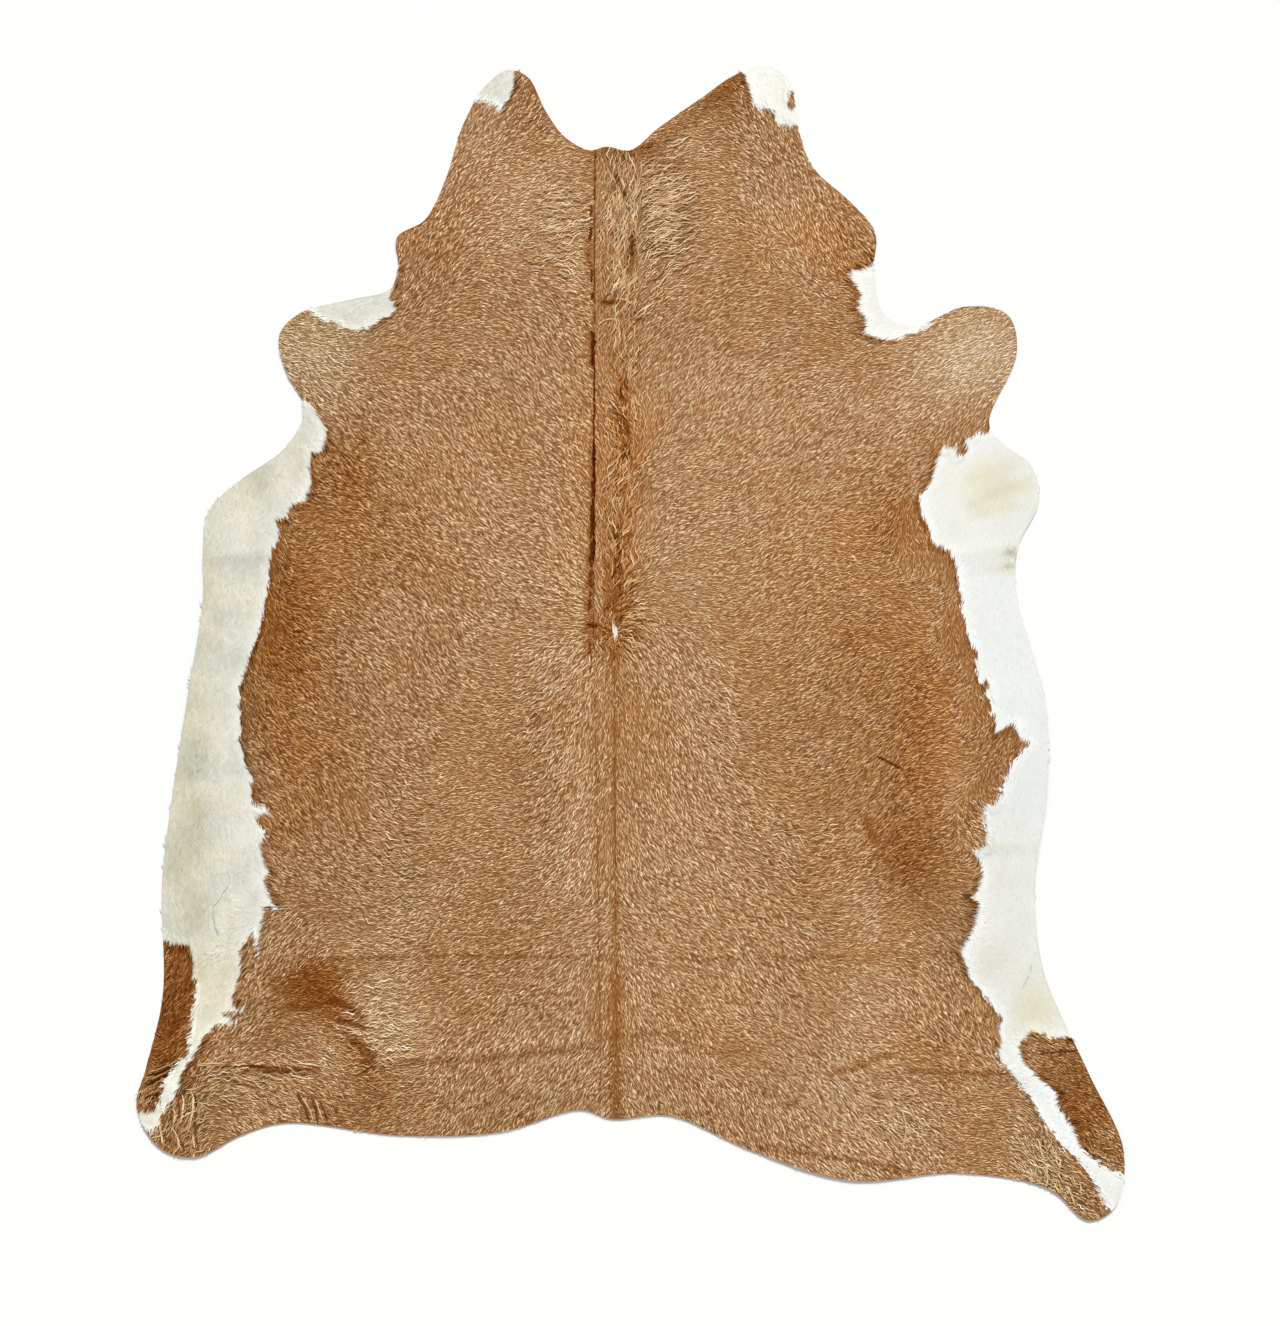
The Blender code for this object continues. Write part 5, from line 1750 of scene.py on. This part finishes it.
class RUG_OT_strands(bpy.types.Operator):
    """Lay the long wavy strands of the neck, the loins and the toes over the short coat"""

    bl_idname = "rug.strands"
    bl_label = "Lay the long strands"

    def execute(self, context):
        sizes = context.scene.rug_sizes
        look = HairLook(
            kind="strands", width=1.15 * sizes.lock_width, rise=1.4 * sizes.lock_rise, spread=0.3,
            roll=math.radians(10), tip_shade=0.1, side_shade=0.05, marks=TAN_MARKS,
            material=tan_hair(), slot="tan_hair",
        )
        grow(context, "coat_strands", long_strands(sizes, sizes.seed), look, sizes.seed)
        laid = look._replace(
            width=LAID_GIRTH * sizes.lock_width, rise=0.5 * sizes.lock_rise, spread=0.1,
            tip_shade=0, marks=(),
        )
        grow(context, "coat_lines", laid_strands(sizes, TAN_LINES, sizes.seed), laid, sizes.seed)
        return {"FINISHED"}


def lay_floor(context, colour):
    """A plain floor just under the rug."""
    mesh = bpy.data.meshes.new("floor")
    corners = [(-1, -1), (1, -1), (1, 1), (-1, 1)]
    mesh.from_pydata([(x * FLOOR_HALF, y * FLOOR_HALF, -MM) for x, y in corners], [], [(0, 1, 2, 3)])
    floor = bpy.data.objects.new("floor", mesh)
    context.scene.collection.objects.link(floor)
    material, graph = new_material("floor")
    finish_material(graph, 0.5, base_color=(*colour, 1.0), roughness=0.8)
    mesh.materials.append(material)


def light_up(context, key_strength, fill_strength):
    """A soft sun from beyond the neck, and even light from all round."""
    light = bpy.data.lights.new("key", "SUN")
    light.energy = key_strength
    light.angle = KEY_SOFTNESS
    lamp = bpy.data.objects.new("key", light)
    lamp.location = KEY_FROM
    lamp.rotation_euler = (-Vector(KEY_FROM)).to_track_quat("-Z", "Y").to_euler()
    context.scene.collection.objects.link(lamp)
    world = bpy.data.worlds.new("studio")
    world.use_nodes = True
    background = world.node_tree.nodes["Background"]
    background.inputs["Color"].default_value = (1.0, 1.0, 1.0, 1.0)
    background.inputs["Strength"].default_value = fill_strength
    context.scene.world = world
    context.scene.view_settings.view_transform = "Standard"


def look_down(context, view_height):
    """The camera straight over the rug, from where its height fills the picture."""
    camera = bpy.data.cameras.new("camera")
    camera.lens = LENS
    camera.sensor_fit = "VERTICAL"
    camera.sensor_height = SENSOR
    view = bpy.data.objects.new("camera", camera)
    view.location = (CAMERA_X, CAMERA_Y, view_height * LENS / SENSOR)
    context.scene.collection.objects.link(view)
    context.scene.camera = view


class RUG_OT_stage(bpy.types.Operator):
    """Set the plain floor, the soft light and the camera that looks straight down"""

    bl_idname = "rug.stage"
    bl_label = "Set the stage"

    def execute(self, context):
        stage = context.scene.rug_stage
        lay_floor(context, stage.floor_colour)
        light_up(context, stage.key_strength, stage.fill_strength)
        look_down(context, stage.view_height)
        return {"FINISHED"}


class RUG_PT_panel(bpy.types.Panel):
    """All steps of the rug, in order"""

    bl_idname = "RUG_PT_panel"
    bl_label = "Cowhide rug"
    bl_space_type = "VIEW_3D"
    bl_region_type = "UI"
    bl_category = "Rug"

    def draw(self, context):
        layout = self.layout
        for group in (context.scene.rug_sizes, context.scene.rug_stage):
            box = layout.box()
            for key in group.__annotations__:
                box.prop(group, key)
        for step in STEPS:
            layout.operator(step.bl_idname)


STEPS = (RUG_OT_skin, RUG_OT_tan_coat, RUG_OT_white_coat, RUG_OT_strands, RUG_OT_stage)
CLASSES = (RugSizes, StageSettings, *STEPS, RUG_PT_panel)


def register():
    for cls in CLASSES:
        bpy.utils.register_class(cls)
    bpy.types.Scene.rug_sizes = PointerProperty(type=RugSizes)
    bpy.types.Scene.rug_stage = PointerProperty(type=StageSettings)


def unregister():
    del bpy.types.Scene.rug_stage
    del bpy.types.Scene.rug_sizes
    for cls in reversed(CLASSES):
        bpy.utils.unregister_class(cls)


def main():
    register()
    bpy.ops.rug.skin()
    bpy.ops.rug.tan_coat()
    bpy.ops.rug.white_coat()
    bpy.ops.rug.strands()
    bpy.ops.rug.stage()


if __name__ == "__main__":
    main()
